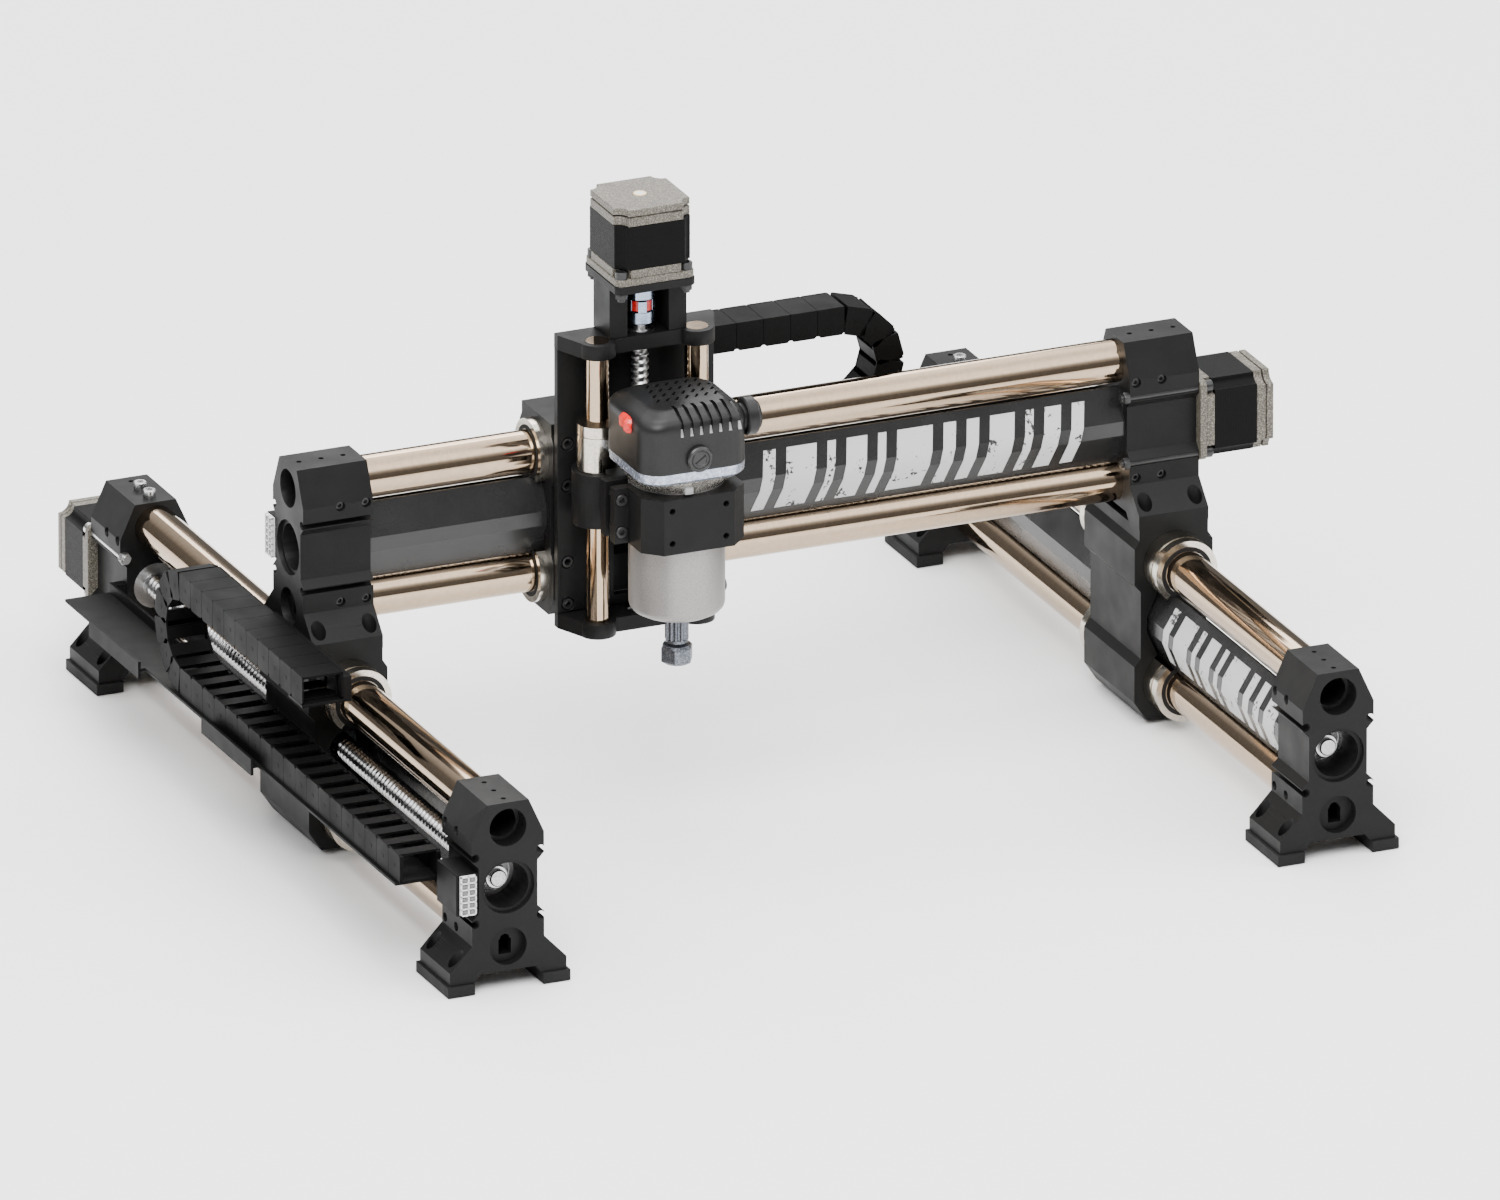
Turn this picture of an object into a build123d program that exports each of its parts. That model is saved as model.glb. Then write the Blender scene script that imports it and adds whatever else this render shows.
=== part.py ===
from build123d import *
import os
from math import cos, radians, sin

# Bench-top gantry CNC router: two tube-and-screw Y axes on four feet, a travelling gantry with
# the X axis, and a Z slide that carries a trim router. Millimetres, +Z up, +Y towards the back.
# The origin is on the bench plane, at the centre of the rectangle of the four feet.

# ---------------------------------------------------------------- driving dimensions
AXIS_SPAN = 603.4          # between the two Y-axis planes
FRAME_LENGTH = 660.0       # over the foot pads, front to back
GANTRY_Y = -13.6           # gantry plane at rest
CARRIAGE_X = -89.0         # X carriage centre at rest

# tubes, screws and bearings
TUBE_R = 15.0
TUBE_WALL = 4.0
TUBE_SPACING = 84.7        # between the two tubes of one axis
SCREW_R = 8.0
JOURNAL_R = 6.0
RUNNING_GAP = 0.08         # radial, between a shaft and what it turns or slides in
SEAT_GAP = 0.05            # radial, between a held piece and its seat
BUSH_WALL = 7.5
BUSH_LENGTH = 64.0
BUSH_OPENING = 78.0        # degrees, towards the screw
BUSH_GROOVE_DEPTH = 0.8
BUSH_GROOVE_WIDTH = 2.0
BUSH_GROOVE_INSET = 8.0
BALL_BEARING_R = 16.0
BALL_BEARING_WIDTH = 10.0
SHIELD_OUTER = 0.72        # share of the ring's wall, from the bore
SHIELD_INNER = 0.28
SHIELD_DEPTH = 0.6
FRONT_BEARING_INSET = 12.0  # the bearing away from the motor, from the plate's inner face
SCREW_SPACER = 3.0         # between a bearing and its lock nut or coupling
NUT_R = 14.0
NUT_LENGTH = 46.0

# end plate: the same extrusion is a foot and a gantry end plate
PAD_HEIGHT = 7.5
PAD_WIDTH = 19.7
PAD_LIP = 2.2              # pad beyond the plate on three sides
PLATE_DEPTH = 50.9
PLATE_FOOT_HALF = 42.1
PLATE_SIDE_WALL = 11.0     # beside the tubes
PLATE_WAIST_WALL = 2.2     # beside the bearing recess
PLATE_OVER_TUBE = 2.8
PLATE_UNDER_TUBE = 7.7
PLATE_TOE_HEIGHT = 9.3
PLATE_ANKLE_HEIGHT = 26.2
PLATE_SHOULDER_DROP = 24.4
ARCH_HALF = 20.0
ARCH_FOOT_HALF = 24.3
ARCH_HEIGHT = 5.5
WAIST_HALF_HEIGHT = 16.1
WAIST_SLOPE = 5.0
TUBE_SEAT_DEPTH = 38.0
TUBE_LIP = 1.7
BEARING_LIP = 3.0
BEARING_RECESS_DEPTH = 3.0
KEYHOLE_HALF_WIDTH = 4.5
KEYHOLE_ROUND_R = 3.6
KEYHOLE_HEIGHT = 15.0
LOWER_RECESS_DEPTH = 6.0
BENCH_BOLT_X = 35.1
BENCH_BOLT_Y = 18.4
BENCH_BOLT_R = 3.3
BENCH_COUNTERBORE_R = 5.0
BENCH_COUNTERBORE_FLOOR = 6.0
CLAMP_HOLE_R = 1.9
CLAMP_HEAD_R = 3.3
CLAMP_HEAD_DEPTH = 6.0
CLAMP_HOLE_DEPTH = 11.5
CLAMP_SCREW_GAP = 0.2
CLAMP_HEAD_GAP = 0.3
CLAMP_HEAD_HEIGHT = 3.5
CLAMP_TIP_GAP = 0.5
CLAMP_DEPTHS = (27.3, 46.0)
CLAMP_DROP = 8.2           # clamp screws below the upper tube, above the lower one
TOP_HOLE_R = 1.8
TOP_HOLE_DEPTH = 5.0
TOP_HOLE_DEPTHS = (8.0, 24.0, 40.0)

# stepper motors
MOTOR_SIZE = 57.0
MOTOR_FLANGE_THICK = 11.0
MOTOR_CORE_SIZE = 55.5
MOTOR_CORE_LENGTH = 31.0
MOTOR_CAP_THICK = 12.5
MOTOR_CORNER = 5.0
MOTOR_CORNER_NOTCH = 10.0
MOTOR_FLANGE_PLATE = 5.0
MOTOR_BOLT_OFFSET = 23.57
MOTOR_BOLT_R = 2.5
MOTOR_BOLT_HOLE_R = 2.9
MOTOR_BOLT_HEAD_R = 4.2
MOTOR_BOLT_HEAD_HEIGHT = 5.0
MOTOR_BOLT_NUT_R = 4.4
MOTOR_BOLT_NUT_HEIGHT = 4.0
MOTOR_SHAFT_R = 4.0
NOTCH_MOUTH = 3.4
COUPLING_R = 12.5
COUPLING_HUB = 11.0
COUPLING_SPIDER = 8.0
Z_COUPLING_R = 10.4
Z_COUPLING_HUB = 9.0
Z_COUPLING_GAP = 5.0       # above the Z frame
LOCK_NUT_AF = 15.0
LOCK_NUT_HEIGHT = 7.0

# carriage blocks
BLOCK_BULGE_WALL = 6.2     # walls beside, over and under the bushings
BLOCK_WAIST_WALL = 1.6
BLOCK_SIDE_WALL = 2.7
BLOCK_TOP_WALL = 4.3
BLOCK_BOTTOM_WALL = 4.1
BLOCK_BOTTOM_CHAMFER = 9.1
BULGE_HALF_HEIGHT = 13.0
BULGE_SLOPE = 5.4
Y_BLOCK_LENGTH = 84.2
X_BLOCK_LENGTH = 115.0

# folded covers between the tubes
COVER_DEPTH = 18.2         # outer face from the screw axis
COVER_FACE_HALF = 5.0
COVER_EDGE_DEPTH = 8.0
COVER_TUBE_GAP = 0.35
COVER_THICK = 1.5
COVER_CLEARANCE = 1.3
COVER_END_GAP = 0.3

# Z axis, measured across from the carriage centre; heights here and on the router are over the
# Z level, which is where the bench is at these sizes
X_SCREW_OVER_LEVEL = 206.75
Z_PLATE_HALF = 57.0
Z_PLATE_THICK = 6.0
Z_PLATE_SCREW_INSET = 7.5
Z_PLATE_SCREW_SPREAD = 15.0
Z_FRAME_DROP = 31.4        # below the lower X tube
Z_FRAME_TOP = 343.0
Z_END_THICK = 10.5
Z_RAIL_HALF_SPACING = 36.0
Z_RAIL_R = 8.0
Z_RAIL_REACH = 18.7        # rails and screw in front of the back plate
Z_SCREW_REACH = 7.1
Z_SCREW_R = 6.0
Z_JOURNAL_R = 5.0
Z_BEARING_R = 11.0
Z_BEARING_WIDTH = 7.0
Z_LOBE_R = 12.5
LOBE_TANGENT_ANGLE = 36.9  # where the straight flank meets a lobe
Z_FRONT_EDGE_REACH = 3.0   # end plates between their lobes, in front of the rails
Z_WINDOW_HALF = 16.0
Z_TRAVEL = (-68.0, 46.0)
Z_WINDOW_MARGIN = 3.0      # window beyond the nut's travel
Z_SCREW_HOLE_R = 2.7
Z_SCREW_HEAD_SEAT_R = 4.6
Z_SCREW_HEAD_SEAT_DEPTH = 3.5
Z_SCREW_HEAD_R = 4.3
Z_SCREW_SHANK_R = 2.5
RISER_WIDTH = 56.0
RISER_DEPTH = 28.0
RISER_HEIGHT = 36.0
RISER_WINDOW = 30.0
RISER_BACK = 3.0
MOTOR_PLATE_THICK = 5.5
MOTOR_PILOT_R = 19.1

# Z slide
HOLDER_R = 17.5
HOLDER_Z = (214.0, 252.0)
Z_BUSH_R = 14.0
Z_BUSH_Z = (215.0, 285.0)
Z_BUSH_GROOVE_DEPTH = 0.6
Z_BUSH_GROOVE_WIDTH = 1.3
WEB_THICK = 12.0
Z_NUT_R = 11.0
Z_NUT_Z = (222.0, 246.0)
NUT_BRIDGE_HALF = 9.0

# trim router and its clamp
ROUTER_BACK_GAP = 0.3      # from the web
ROUTER_R = 32.5
ROUTER_WALL = 3.5
ROUTER_BOTTOM = 162.0
ROUTER_TOP = 264.0
ROUTER_NOSE_CHAMFER = 7.0
NOSE_BEARING_HEIGHT = 12.0  # solid nose round the spindle
CLAMP_Z = (218.0, 257.0)
CLAMP_SIDE_WALL = 5.0
CLAMP_FRONT_WALL = 6.0
CLAMP_CORNER_CUT = 12.0
EAR_LENGTH = 9.5
EAR_Y = (-5.0, 19.5)
EAR_GAP_Y = (3.0, 11.0)
EAR_SCREW_Z = (8.0, 31.0)
EAR_SCREW_R = 2.4
EAR_HOLE_R = 2.6
EAR_HEAD_R = 4.0
EAR_HEAD_SEAT_R = 4.3
EAR_HEAD_SEAT_DEPTH = 3.0
EAR_SLOT_REACH = 6.0       # clamp slot into the bore
CLAMP_TAP_HALF_WIDTH = 19.5
CLAMP_TAP_R = 2.1
CLAMP_TAP_DEPTH = 6.0
SKIRT_TOP = 274.0
HOUSING_TOP = 317.0
HOUSING_SIDE_REACH = 6.5   # beyond the body
HOUSING_END_REACH = 5.5
HOUSING_CORNER_INSET = 16.5
HOUSING_WALL = 3.0
HOUSING_RIM_R = 5.0
SKIRT_WALL = 6.5
BRUSH_CAP_R = 9.0
BRUSH_CAP_PROUD = 3.0
BRUSH_CAP_Z = 284.0
BRUSH_CAP_SEAT = 5.0       # into the housing
BRUSH_SLOT_HALF = 5.0
BRUSH_SLOT_WIDTH = 1.4
GLAND_R = 13.0
GLAND_NECK_R = 9.0
GLAND_BORE_R = 4.5
GLAND_LENGTH = 11.0
GLAND_Z = 302.0
GLAND_Y = -20.0            # from the router axis
SPINDLE_R = 8.0
SPINDLE_TIP_R = 6.0        # inside the collet nut
SPINDLE_TOP = 303.0
ARMATURE_R = 22.0
ARMATURE_Z = (190.0, 268.0)
COLLET_MOUTH_R = 3.775
COLLET_NUT_FLOOR = 2.0
COLLET_NUT_AF = 20.0
COLLET_NUT_Z = (125.0, 139.0)
COLLET_BORE_R = 3.175
COLLET_BORE_DEPTH = 22.0
SWITCH_Z = (298.0, 310.0)
SWITCH_HALF_LENGTH = 8.5
SWITCH_PROUD = 4.0
SWITCH_Y = -6.0            # from the router axis
SWITCH_GAP = 0.6
LOCK_BUTTON_R = 5.0
LOCK_BUTTON_PROUD = 2.5
LOCK_BUTTON_DEPTH = 5.0
LOCK_BUTTON_Z = 176.0
BUTTON_GAP = 0.3

# cable chains
CHAIN_WIDTH = 30.0
CHAIN_HEIGHT = 20.0
CHAIN_WALL = 4.0
CHAIN_RADIUS = 34.0        # bend, at mid height
Y_CHAIN_GAP = 2.6          # from the block
Y_CHAIN_RISE = 6.95        # lower run above the screw
Y_CHAIN_END_OVERLAP = 11.1 # fixed end beyond the end plate's inner face
Y_CHAIN_BEND_Y = 90.0
Y_CHAIN_MOVING_Y = -122.0
Y_ARM_BEHIND = 20.0        # arm past the gantry plane
Y_ARM_ABOVE = 6.0          # above the upper run's middle
Y_ARM_GAP = 0.5            # over the carriage block
X_CHAIN_GAP = 6.9
X_CHAIN_RISE = 18.25
X_CHAIN_END_GAP = 14.25    # fixed end from the end plate's inner face
X_CHAIN_ARM_OFFSET = 5.0   # moving end from the carriage centre
X_CHAIN_UPPER_LENGTH = 178.0
X_ARM_THICK = 3.0
X_ARM_SEAT = 7.0           # arm down the block's back
SHEET_THICK = 2.0
TRAY_TAB = 8.0             # tray and shelf beyond the end plates' inner faces
TRAY_GAP = 0.5
CLIP_REACH = 5.0
CLIP_BELOW = 7.0
CLIP_ABOVE = 5.0
CHAIN_ANCHOR_LENGTH = 24.0
TRAY_LIP = 7.0
CONNECTOR_BOX = (16.0, 26.0, 29.0)     # width, length, height
CONNECTOR_ROUND_R = 8.0
CONNECTOR_SOCKET = (11.2, 28.0)         # width, height
CONNECTOR_INSET = 0.5                   # box behind the plate's outer face
CONNECTOR_DROP = 1.5                    # below the screw axis
CLIP_LENGTH = 86.0
CLIP_Y = (-50.0, 145.0)

# ---------------------------------------------------------------- worked-out places
LEFT_X = -AXIS_SPAN / 2
RIGHT_X = AXIS_SPAN / 2
BUSH_R = TUBE_R + BUSH_WALL
TUBE_LIP_R = TUBE_R - TUBE_LIP
BEARING_RECESS_R = BALL_BEARING_R + BEARING_LIP
COVER_EDGE_HALF = TUBE_SPACING / 2 - TUBE_R - COVER_TUBE_GAP
LOWER_BORE_HEIGHT = TUBE_R + PLATE_UNDER_TUBE
UPPER_BORE_HEIGHT = LOWER_BORE_HEIGHT + TUBE_SPACING
SCREW_HEIGHT = LOWER_BORE_HEIGHT + TUBE_SPACING / 2
PLATE_TOP_HALF = TUBE_R
PLATE_BODY_HALF = TUBE_R + PLATE_SIDE_WALL
PLATE_WAIST_HALF = BEARING_RECESS_R + PLATE_WAIST_WALL
PLATE_HEIGHT = UPPER_BORE_HEIGHT + TUBE_R + PLATE_OVER_TUBE
PLATE_SHOULDER_HEIGHT = PLATE_HEIGHT - PLATE_SHOULDER_DROP
BLOCK_BULGE_HALF = BUSH_R + BLOCK_BULGE_WALL
BLOCK_WAIST_HALF = BUSH_R + BLOCK_WAIST_WALL
BLOCK_TOP_HALF = BUSH_R + BLOCK_SIDE_WALL
BLOCK_BOTTOM_HALF = BLOCK_BULGE_HALF - BLOCK_BOTTOM_CHAMFER
BLOCK_ABOVE = BUSH_R + BLOCK_TOP_WALL
BLOCK_BELOW = BUSH_R + BLOCK_BOTTOM_WALL
Y_SCREW_Z = PAD_HEIGHT + SCREW_HEIGHT
Y_TUBE_ZS = (PAD_HEIGHT + LOWER_BORE_HEIGHT, PAD_HEIGHT + UPPER_BORE_HEIGHT)
PLATE_OUTER_Y = FRAME_LENGTH / 2 - PAD_LIP
PLATE_INNER_Y = PLATE_OUTER_Y - PLATE_DEPTH
GANTRY_BASE_Z = Y_TUBE_ZS[1] + BLOCK_ABOVE
X_SCREW_Z = GANTRY_BASE_Z + SCREW_HEIGHT
X_TUBE_ZS = (GANTRY_BASE_Z + LOWER_BORE_HEIGHT, GANTRY_BASE_Z + UPPER_BORE_HEIGHT)
GANTRY_OUTER_X = RIGHT_X + PLATE_DEPTH / 2
GANTRY_INNER_X = RIGHT_X - PLATE_DEPTH / 2
X_BLOCK_FRONT_Y = GANTRY_Y - BLOCK_BULGE_HALF
Z_PLATE_FRONT_Y = X_BLOCK_FRONT_Y - Z_PLATE_THICK
Z_LEVEL = X_SCREW_Z - X_SCREW_OVER_LEVEL
Z_FRAME_BOTTOM = X_SCREW_OVER_LEVEL - TUBE_SPACING / 2 - Z_FRAME_DROP
Z_RAIL_Y = Z_PLATE_FRONT_Y - Z_RAIL_REACH
Z_SCREW_Y = Z_PLATE_FRONT_Y - Z_SCREW_REACH
Z_FRONT_EDGE_Y = Z_RAIL_Y - Z_FRONT_EDGE_REACH
WEB_FRONT_Y = Z_RAIL_Y - HOLDER_R
ROUTER_Y = WEB_FRONT_Y - ROUTER_BACK_GAP - ROUTER_R
CLAMP_HALF = ROUTER_R + CLAMP_SIDE_WALL
CLAMP_FRONT = ROUTER_R + CLAMP_FRONT_WALL
CLAMP_FACE_HALF = CLAMP_HALF - CLAMP_CORNER_CUT
EAR_REACH = CLAMP_HALF + EAR_LENGTH
HOUSING_HALF_X = ROUTER_R + HOUSING_SIDE_REACH
HOUSING_HALF_Y = ROUTER_R + HOUSING_END_REACH
HOUSING_CORNER = ROUTER_R - HOUSING_CORNER_INSET
SKIRT_BORE_R = ROUTER_R - SKIRT_WALL
Y_CHAIN_X = LEFT_X - BLOCK_BULGE_HALF - Y_CHAIN_GAP - CHAIN_WIDTH / 2
Y_CHAIN_LOWER_Z = Y_SCREW_Z + Y_CHAIN_RISE
Y_CHAIN_FIXED_Y = -PLATE_INNER_Y - Y_CHAIN_END_OVERLAP
X_CHAIN_Y = GANTRY_Y + BLOCK_BULGE_HALF + X_CHAIN_GAP + CHAIN_WIDTH / 2
X_CHAIN_LOWER_Z = X_SCREW_Z + X_CHAIN_RISE
X_CHAIN_FIXED_X = -GANTRY_INNER_X + X_CHAIN_END_GAP
X_CHAIN_MOVING_X = CARRIAGE_X + X_CHAIN_ARM_OFFSET
X_CHAIN_BEND_X = X_CHAIN_MOVING_X + X_CHAIN_UPPER_LENGTH
RISER_TOP = Z_FRAME_TOP + RISER_HEIGHT
Z_MOTOR_FACE = RISER_TOP + MOTOR_PLATE_THICK


def save(node, *solids, lift=0.0):
    """Write one node: one solid, or a group of separate solids, lifted to its level."""
    solids = [Pos(0, 0, lift) * piece for piece in solids]
    shape = solids[0] if len(solids) == 1 else Compound(children=solids)
    shape.label = node
    export_step(shape, f"parts/{node}.step")


def solid(part):
    return part.solids()[0]


def turned(part, degrees, at):
    """Turn a part built round the origin about Z, then move it to its place."""
    return Pos(*at) * (Rot(0, 0, degrees) * part)


def rod(radius, start, end, axis="Y", x=0.0, y=0.0, z=0.0):
    """A cylinder along one axis, from start to end."""
    length = end - start
    middle = (start + end) / 2
    if axis == "X":
        return Pos(middle, y, z) * Rot(0, 90, 0) * Cylinder(radius, length)
    if axis == "Y":
        return Pos(x, middle, z) * Rot(90, 0, 0) * Cylinder(radius, length)
    return Pos(x, y, middle) * Cylinder(radius, length)


def block(x0, x1, y0, y1, z0, z1):
    """A box between two corners."""
    centre = ((x0 + x1) / 2, (y0 + y1) / 2, (z0 + z1) / 2)
    return Pos(*centre) * Box(abs(x1 - x0), abs(y1 - y0), abs(z1 - z0))


def profile(points, start, end):
    """Extrude a closed outline in local X and Z along local Y, from start to end."""
    outline = Plane.XZ * make_face(Polyline(*points, close=True))
    return Pos(0, end, 0) * extrude(outline, end - start)


def mirrored(half_points):
    """Close an outline from its right-hand half, listed from bottom to top."""
    return half_points + [(-x, z) for x, z in reversed(half_points)]


# ---------------------------------------------------------------- end plates and feet
def plate_outline():
    low_waist = SCREW_HEIGHT - WAIST_HALF_HEIGHT
    high_waist = SCREW_HEIGHT + WAIST_HALF_HEIGHT
    return mirrored([
        (ARCH_HALF, ARCH_HEIGHT),
        (ARCH_FOOT_HALF, 0.0),
        (PLATE_FOOT_HALF, 0.0),
        (PLATE_FOOT_HALF, PLATE_TOE_HEIGHT),
        (PLATE_BODY_HALF, PLATE_ANKLE_HEIGHT),
        (PLATE_BODY_HALF, low_waist - WAIST_SLOPE),
        (PLATE_WAIST_HALF, low_waist),
        (PLATE_WAIST_HALF, high_waist),
        (PLATE_BODY_HALF, high_waist + WAIST_SLOPE),
        (PLATE_BODY_HALF, PLATE_SHOULDER_HEIGHT),
        (PLATE_TOP_HALF, PLATE_HEIGHT),
    ])


def end_plate():
    """One end plate: outer face at local Y = 0, inner face at PLATE_DEPTH, underside at Z = 0."""
    plate = profile(plate_outline(), 0, PLATE_DEPTH)
    seat_start = PLATE_DEPTH - TUBE_SEAT_DEPTH
    for height in (LOWER_BORE_HEIGHT, UPPER_BORE_HEIGHT):
        plate -= rod(TUBE_R + SEAT_GAP, seat_start, PLATE_DEPTH + 1, z=height)
    plate -= rod(TUBE_LIP_R, -1, seat_start + 1, z=UPPER_BORE_HEIGHT)
    plate -= rod(TUBE_LIP_R, -1, LOWER_RECESS_DEPTH, z=LOWER_BORE_HEIGHT)
    slot_low = LOWER_BORE_HEIGHT - KEYHOLE_HEIGHT / 2
    slot_high = LOWER_BORE_HEIGHT + KEYHOLE_HEIGHT / 2 - KEYHOLE_HALF_WIDTH
    plate -= block(-KEYHOLE_HALF_WIDTH, KEYHOLE_HALF_WIDTH, 0, seat_start + 1, slot_low, slot_high)
    plate -= rod(KEYHOLE_ROUND_R, 0, seat_start + 1, z=slot_high)
    plate -= rod(BALL_BEARING_R + SEAT_GAP, -1, PLATE_DEPTH + 1, z=SCREW_HEIGHT)
    plate -= rod(BEARING_RECESS_R, -1, BEARING_RECESS_DEPTH, z=SCREW_HEIGHT)
    for side in (-1, 1):
        x = side * BENCH_BOLT_X
        for y in (PLATE_DEPTH / 2 - BENCH_BOLT_Y, PLATE_DEPTH / 2 + BENCH_BOLT_Y):
            plate -= rod(BENCH_BOLT_R, -1, BENCH_COUNTERBORE_FLOOR + 1, "Z", x=x, y=y)
            plate -= rod(BENCH_COUNTERBORE_R, BENCH_COUNTERBORE_FLOOR, PLATE_ANKLE_HEIGHT + 8, "Z", x=x, y=y)
        for end in (-1, 1):
            height = SCREW_HEIGHT + end * MOTOR_BOLT_OFFSET
            notch = side * MOTOR_BOLT_OFFSET
            plate -= rod(MOTOR_BOLT_HOLE_R, -1, PLATE_DEPTH + 1, x=notch, z=height)
            plate -= block(notch, side * (PLATE_BODY_HALF + 1), -1, PLATE_DEPTH + 1,
                           height - NOTCH_MOUTH / 2, height + NOTCH_MOUTH / 2)
            clamp_height = SCREW_HEIGHT + end * (TUBE_SPACING / 2 - CLAMP_DROP)
            for depth in CLAMP_DEPTHS:
                outside = side * (PLATE_BODY_HALF + 1)
                hole_end = side * (PLATE_BODY_HALF - CLAMP_HOLE_DEPTH)
                head_end = side * (PLATE_BODY_HALF - CLAMP_HEAD_DEPTH)
                plate -= rod(CLAMP_HOLE_R, min(outside, hole_end), max(outside, hole_end), "X",
                             y=depth, z=clamp_height)
                plate -= rod(CLAMP_HEAD_R, min(outside, head_end), max(outside, head_end), "X",
                             y=depth, z=clamp_height)
    for depth in TOP_HOLE_DEPTHS:
        plate -= rod(TOP_HOLE_R, PLATE_HEIGHT - TOP_HOLE_DEPTH, PLATE_HEIGHT + 1, "Z", y=depth)
    return solid(plate)


def clamp_screws():
    """The socket screws that clamp the tubes in one end plate."""
    screws = []
    for side in (-1, 1):
        for end in (-1, 1):
            height = SCREW_HEIGHT + end * (TUBE_SPACING / 2 - CLAMP_DROP)
            for depth in CLAMP_DEPTHS:
                tip = side * (PLATE_BODY_HALF - CLAMP_HOLE_DEPTH + CLAMP_TIP_GAP)
                seat = side * (PLATE_BODY_HALF - CLAMP_HEAD_DEPTH)
                top = seat + side * CLAMP_HEAD_HEIGHT
                shank = rod(CLAMP_HOLE_R - CLAMP_SCREW_GAP, min(tip, seat), max(tip, seat), "X",
                            y=depth, z=height)
                head = rod(CLAMP_HEAD_R - CLAMP_HEAD_GAP, min(seat, top), max(seat, top), "X",
                           y=depth, z=height)
                screws.append(solid(shank + head))
    return screws


def foot_pads():
    pads = []
    for x in (LEFT_X, RIGHT_X):
        for side in (-1, 1):
            outer = side * (PLATE_FOOT_HALF + PAD_LIP)
            inner = outer - side * PAD_WIDTH
            for end in (-1, 1):
                y_out = end * FRAME_LENGTH / 2
                y_in = y_out - end * (PLATE_DEPTH + 2 * PAD_LIP)
                pad = block(x + inner, x + outer, y_in, y_out, 0, PAD_HEIGHT)
                for dy in (-BENCH_BOLT_Y, BENCH_BOLT_Y):
                    hole_y = (y_in + y_out) / 2 + dy
                    pad -= rod(BENCH_BOLT_R, -1, PAD_HEIGHT + 1, "Z", x=x + side * BENCH_BOLT_X, y=hole_y)
                pads.append(solid(pad))
    return pads


# ---------------------------------------------------------------- tubes, bushings, bearings
def tube(length):
    """A hollow guide tube centred on the origin, along Y."""
    return rod(TUBE_R, -length / 2, length / 2) - rod(TUBE_R - TUBE_WALL, -length, length)


def bushing(opening_side):
    """A ball bushing along Y, open towards the screw: opening_side is +1 above it, -1 below it."""
    half = BUSH_LENGTH / 2
    bush = rod(BUSH_R, -half, half) - rod(TUBE_R + RUNNING_GAP, -half - 1, half + 1)
    for end in (-1, 1):
        groove_y = end * (half - BUSH_GROOVE_INSET)
        ring = rod(BUSH_R + 1, groove_y - BUSH_GROOVE_WIDTH / 2, groove_y + BUSH_GROOVE_WIDTH / 2)
        ring -= rod(BUSH_R - BUSH_GROOVE_DEPTH, groove_y - BUSH_GROOVE_WIDTH, groove_y + BUSH_GROOVE_WIDTH)
        bush -= ring
    reach = BUSH_R * 1.5
    spread = radians(BUSH_OPENING / 2)
    wedge = [(0.0, 0.0), (reach * sin(spread), -opening_side * reach * cos(spread)),
             (-reach * sin(spread), -opening_side * reach * cos(spread))]
    bush -= profile(wedge, -half - 1, half + 1)
    return solid(bush)


def axis_bushings():
    """The four bushings of one carriage, as local pieces about the screw axis."""
    pieces = []
    for side in (-1, 1):
        for end in (-1, 1):
            place = Pos(0, end * BUSH_LENGTH / 2, side * TUBE_SPACING / 2)
            pieces.append(place * bushing(side))
    return pieces


def ball_bearing(radius, bore, width):
    """A ball bearing as one ring, along Y from 0 to width, with a recessed shield on both sides."""
    bearing = rod(radius, 0, width) - rod(bore + RUNNING_GAP, -1, width + 1)
    shield_out = bore + (radius - bore) * SHIELD_OUTER
    shield_in = bore + (radius - bore) * SHIELD_INNER
    for start, end in ((-1, SHIELD_DEPTH), (width - SHIELD_DEPTH, width + 1)):
        bearing -= rod(shield_out, start, end) - rod(shield_in, start - 1, end + 1)
    return solid(bearing)


# ---------------------------------------------------------------- carriage blocks and covers
def block_outline():
    """Outline of a carriage block, about the screw axis."""
    half = TUBE_SPACING / 2
    bulge_low = half - BULGE_HALF_HEIGHT
    bulge_high = half + BULGE_HALF_HEIGHT
    return mirrored([
        (BLOCK_BOTTOM_HALF, -half - BLOCK_BELOW),
        (BLOCK_BULGE_HALF, -bulge_high),
        (BLOCK_BULGE_HALF, -bulge_low),
        (BLOCK_WAIST_HALF, -bulge_low + BULGE_SLOPE),
        (BLOCK_WAIST_HALF, bulge_low - BULGE_SLOPE),
        (BLOCK_BULGE_HALF, bulge_low),
        (BLOCK_BULGE_HALF, bulge_high),
        (BLOCK_TOP_HALF, bulge_high + BULGE_SLOPE),
        (BLOCK_TOP_HALF, half + BLOCK_ABOVE),
    ])


def cover_outline(outward, inward):
    """Outline of a folded cover; the two offsets thicken it for the slot it runs in."""
    outer = [(-COVER_EDGE_DEPTH, COVER_EDGE_HALF), (-COVER_DEPTH, COVER_FACE_HALF),
             (-COVER_DEPTH, -COVER_FACE_HALF), (-COVER_EDGE_DEPTH, -COVER_EDGE_HALF)]
    end = 1 if outward == 0 else 1 + outward / COVER_EDGE_HALF
    far = [(x - outward, z * end) for x, z in outer]
    near = [(x + inward, z * end) for x, z in outer]
    return far + list(reversed(near))


def carriage_block(length):
    """A carriage block about the screw axis, along Y, with the cover slot on its local -X side."""
    part = profile(block_outline(), -length / 2, length / 2)
    for side in (-1, 1):
        part -= rod(BUSH_R + SEAT_GAP, -length, length, z=side * TUBE_SPACING / 2)
    part -= rod(NUT_R + SEAT_GAP, -length, length)
    slot = cover_outline(COVER_CLEARANCE, COVER_THICK + 2 * COVER_CLEARANCE)
    part -= profile(slot, -length, length)
    return max(part.solids(), key=lambda piece: piece.volume)


def cover(length):
    """A folded sheet cover about the screw axis, centred along Y, on the local -X side."""
    return solid(profile(cover_outline(0, COVER_THICK), -length / 2, length / 2))


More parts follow.
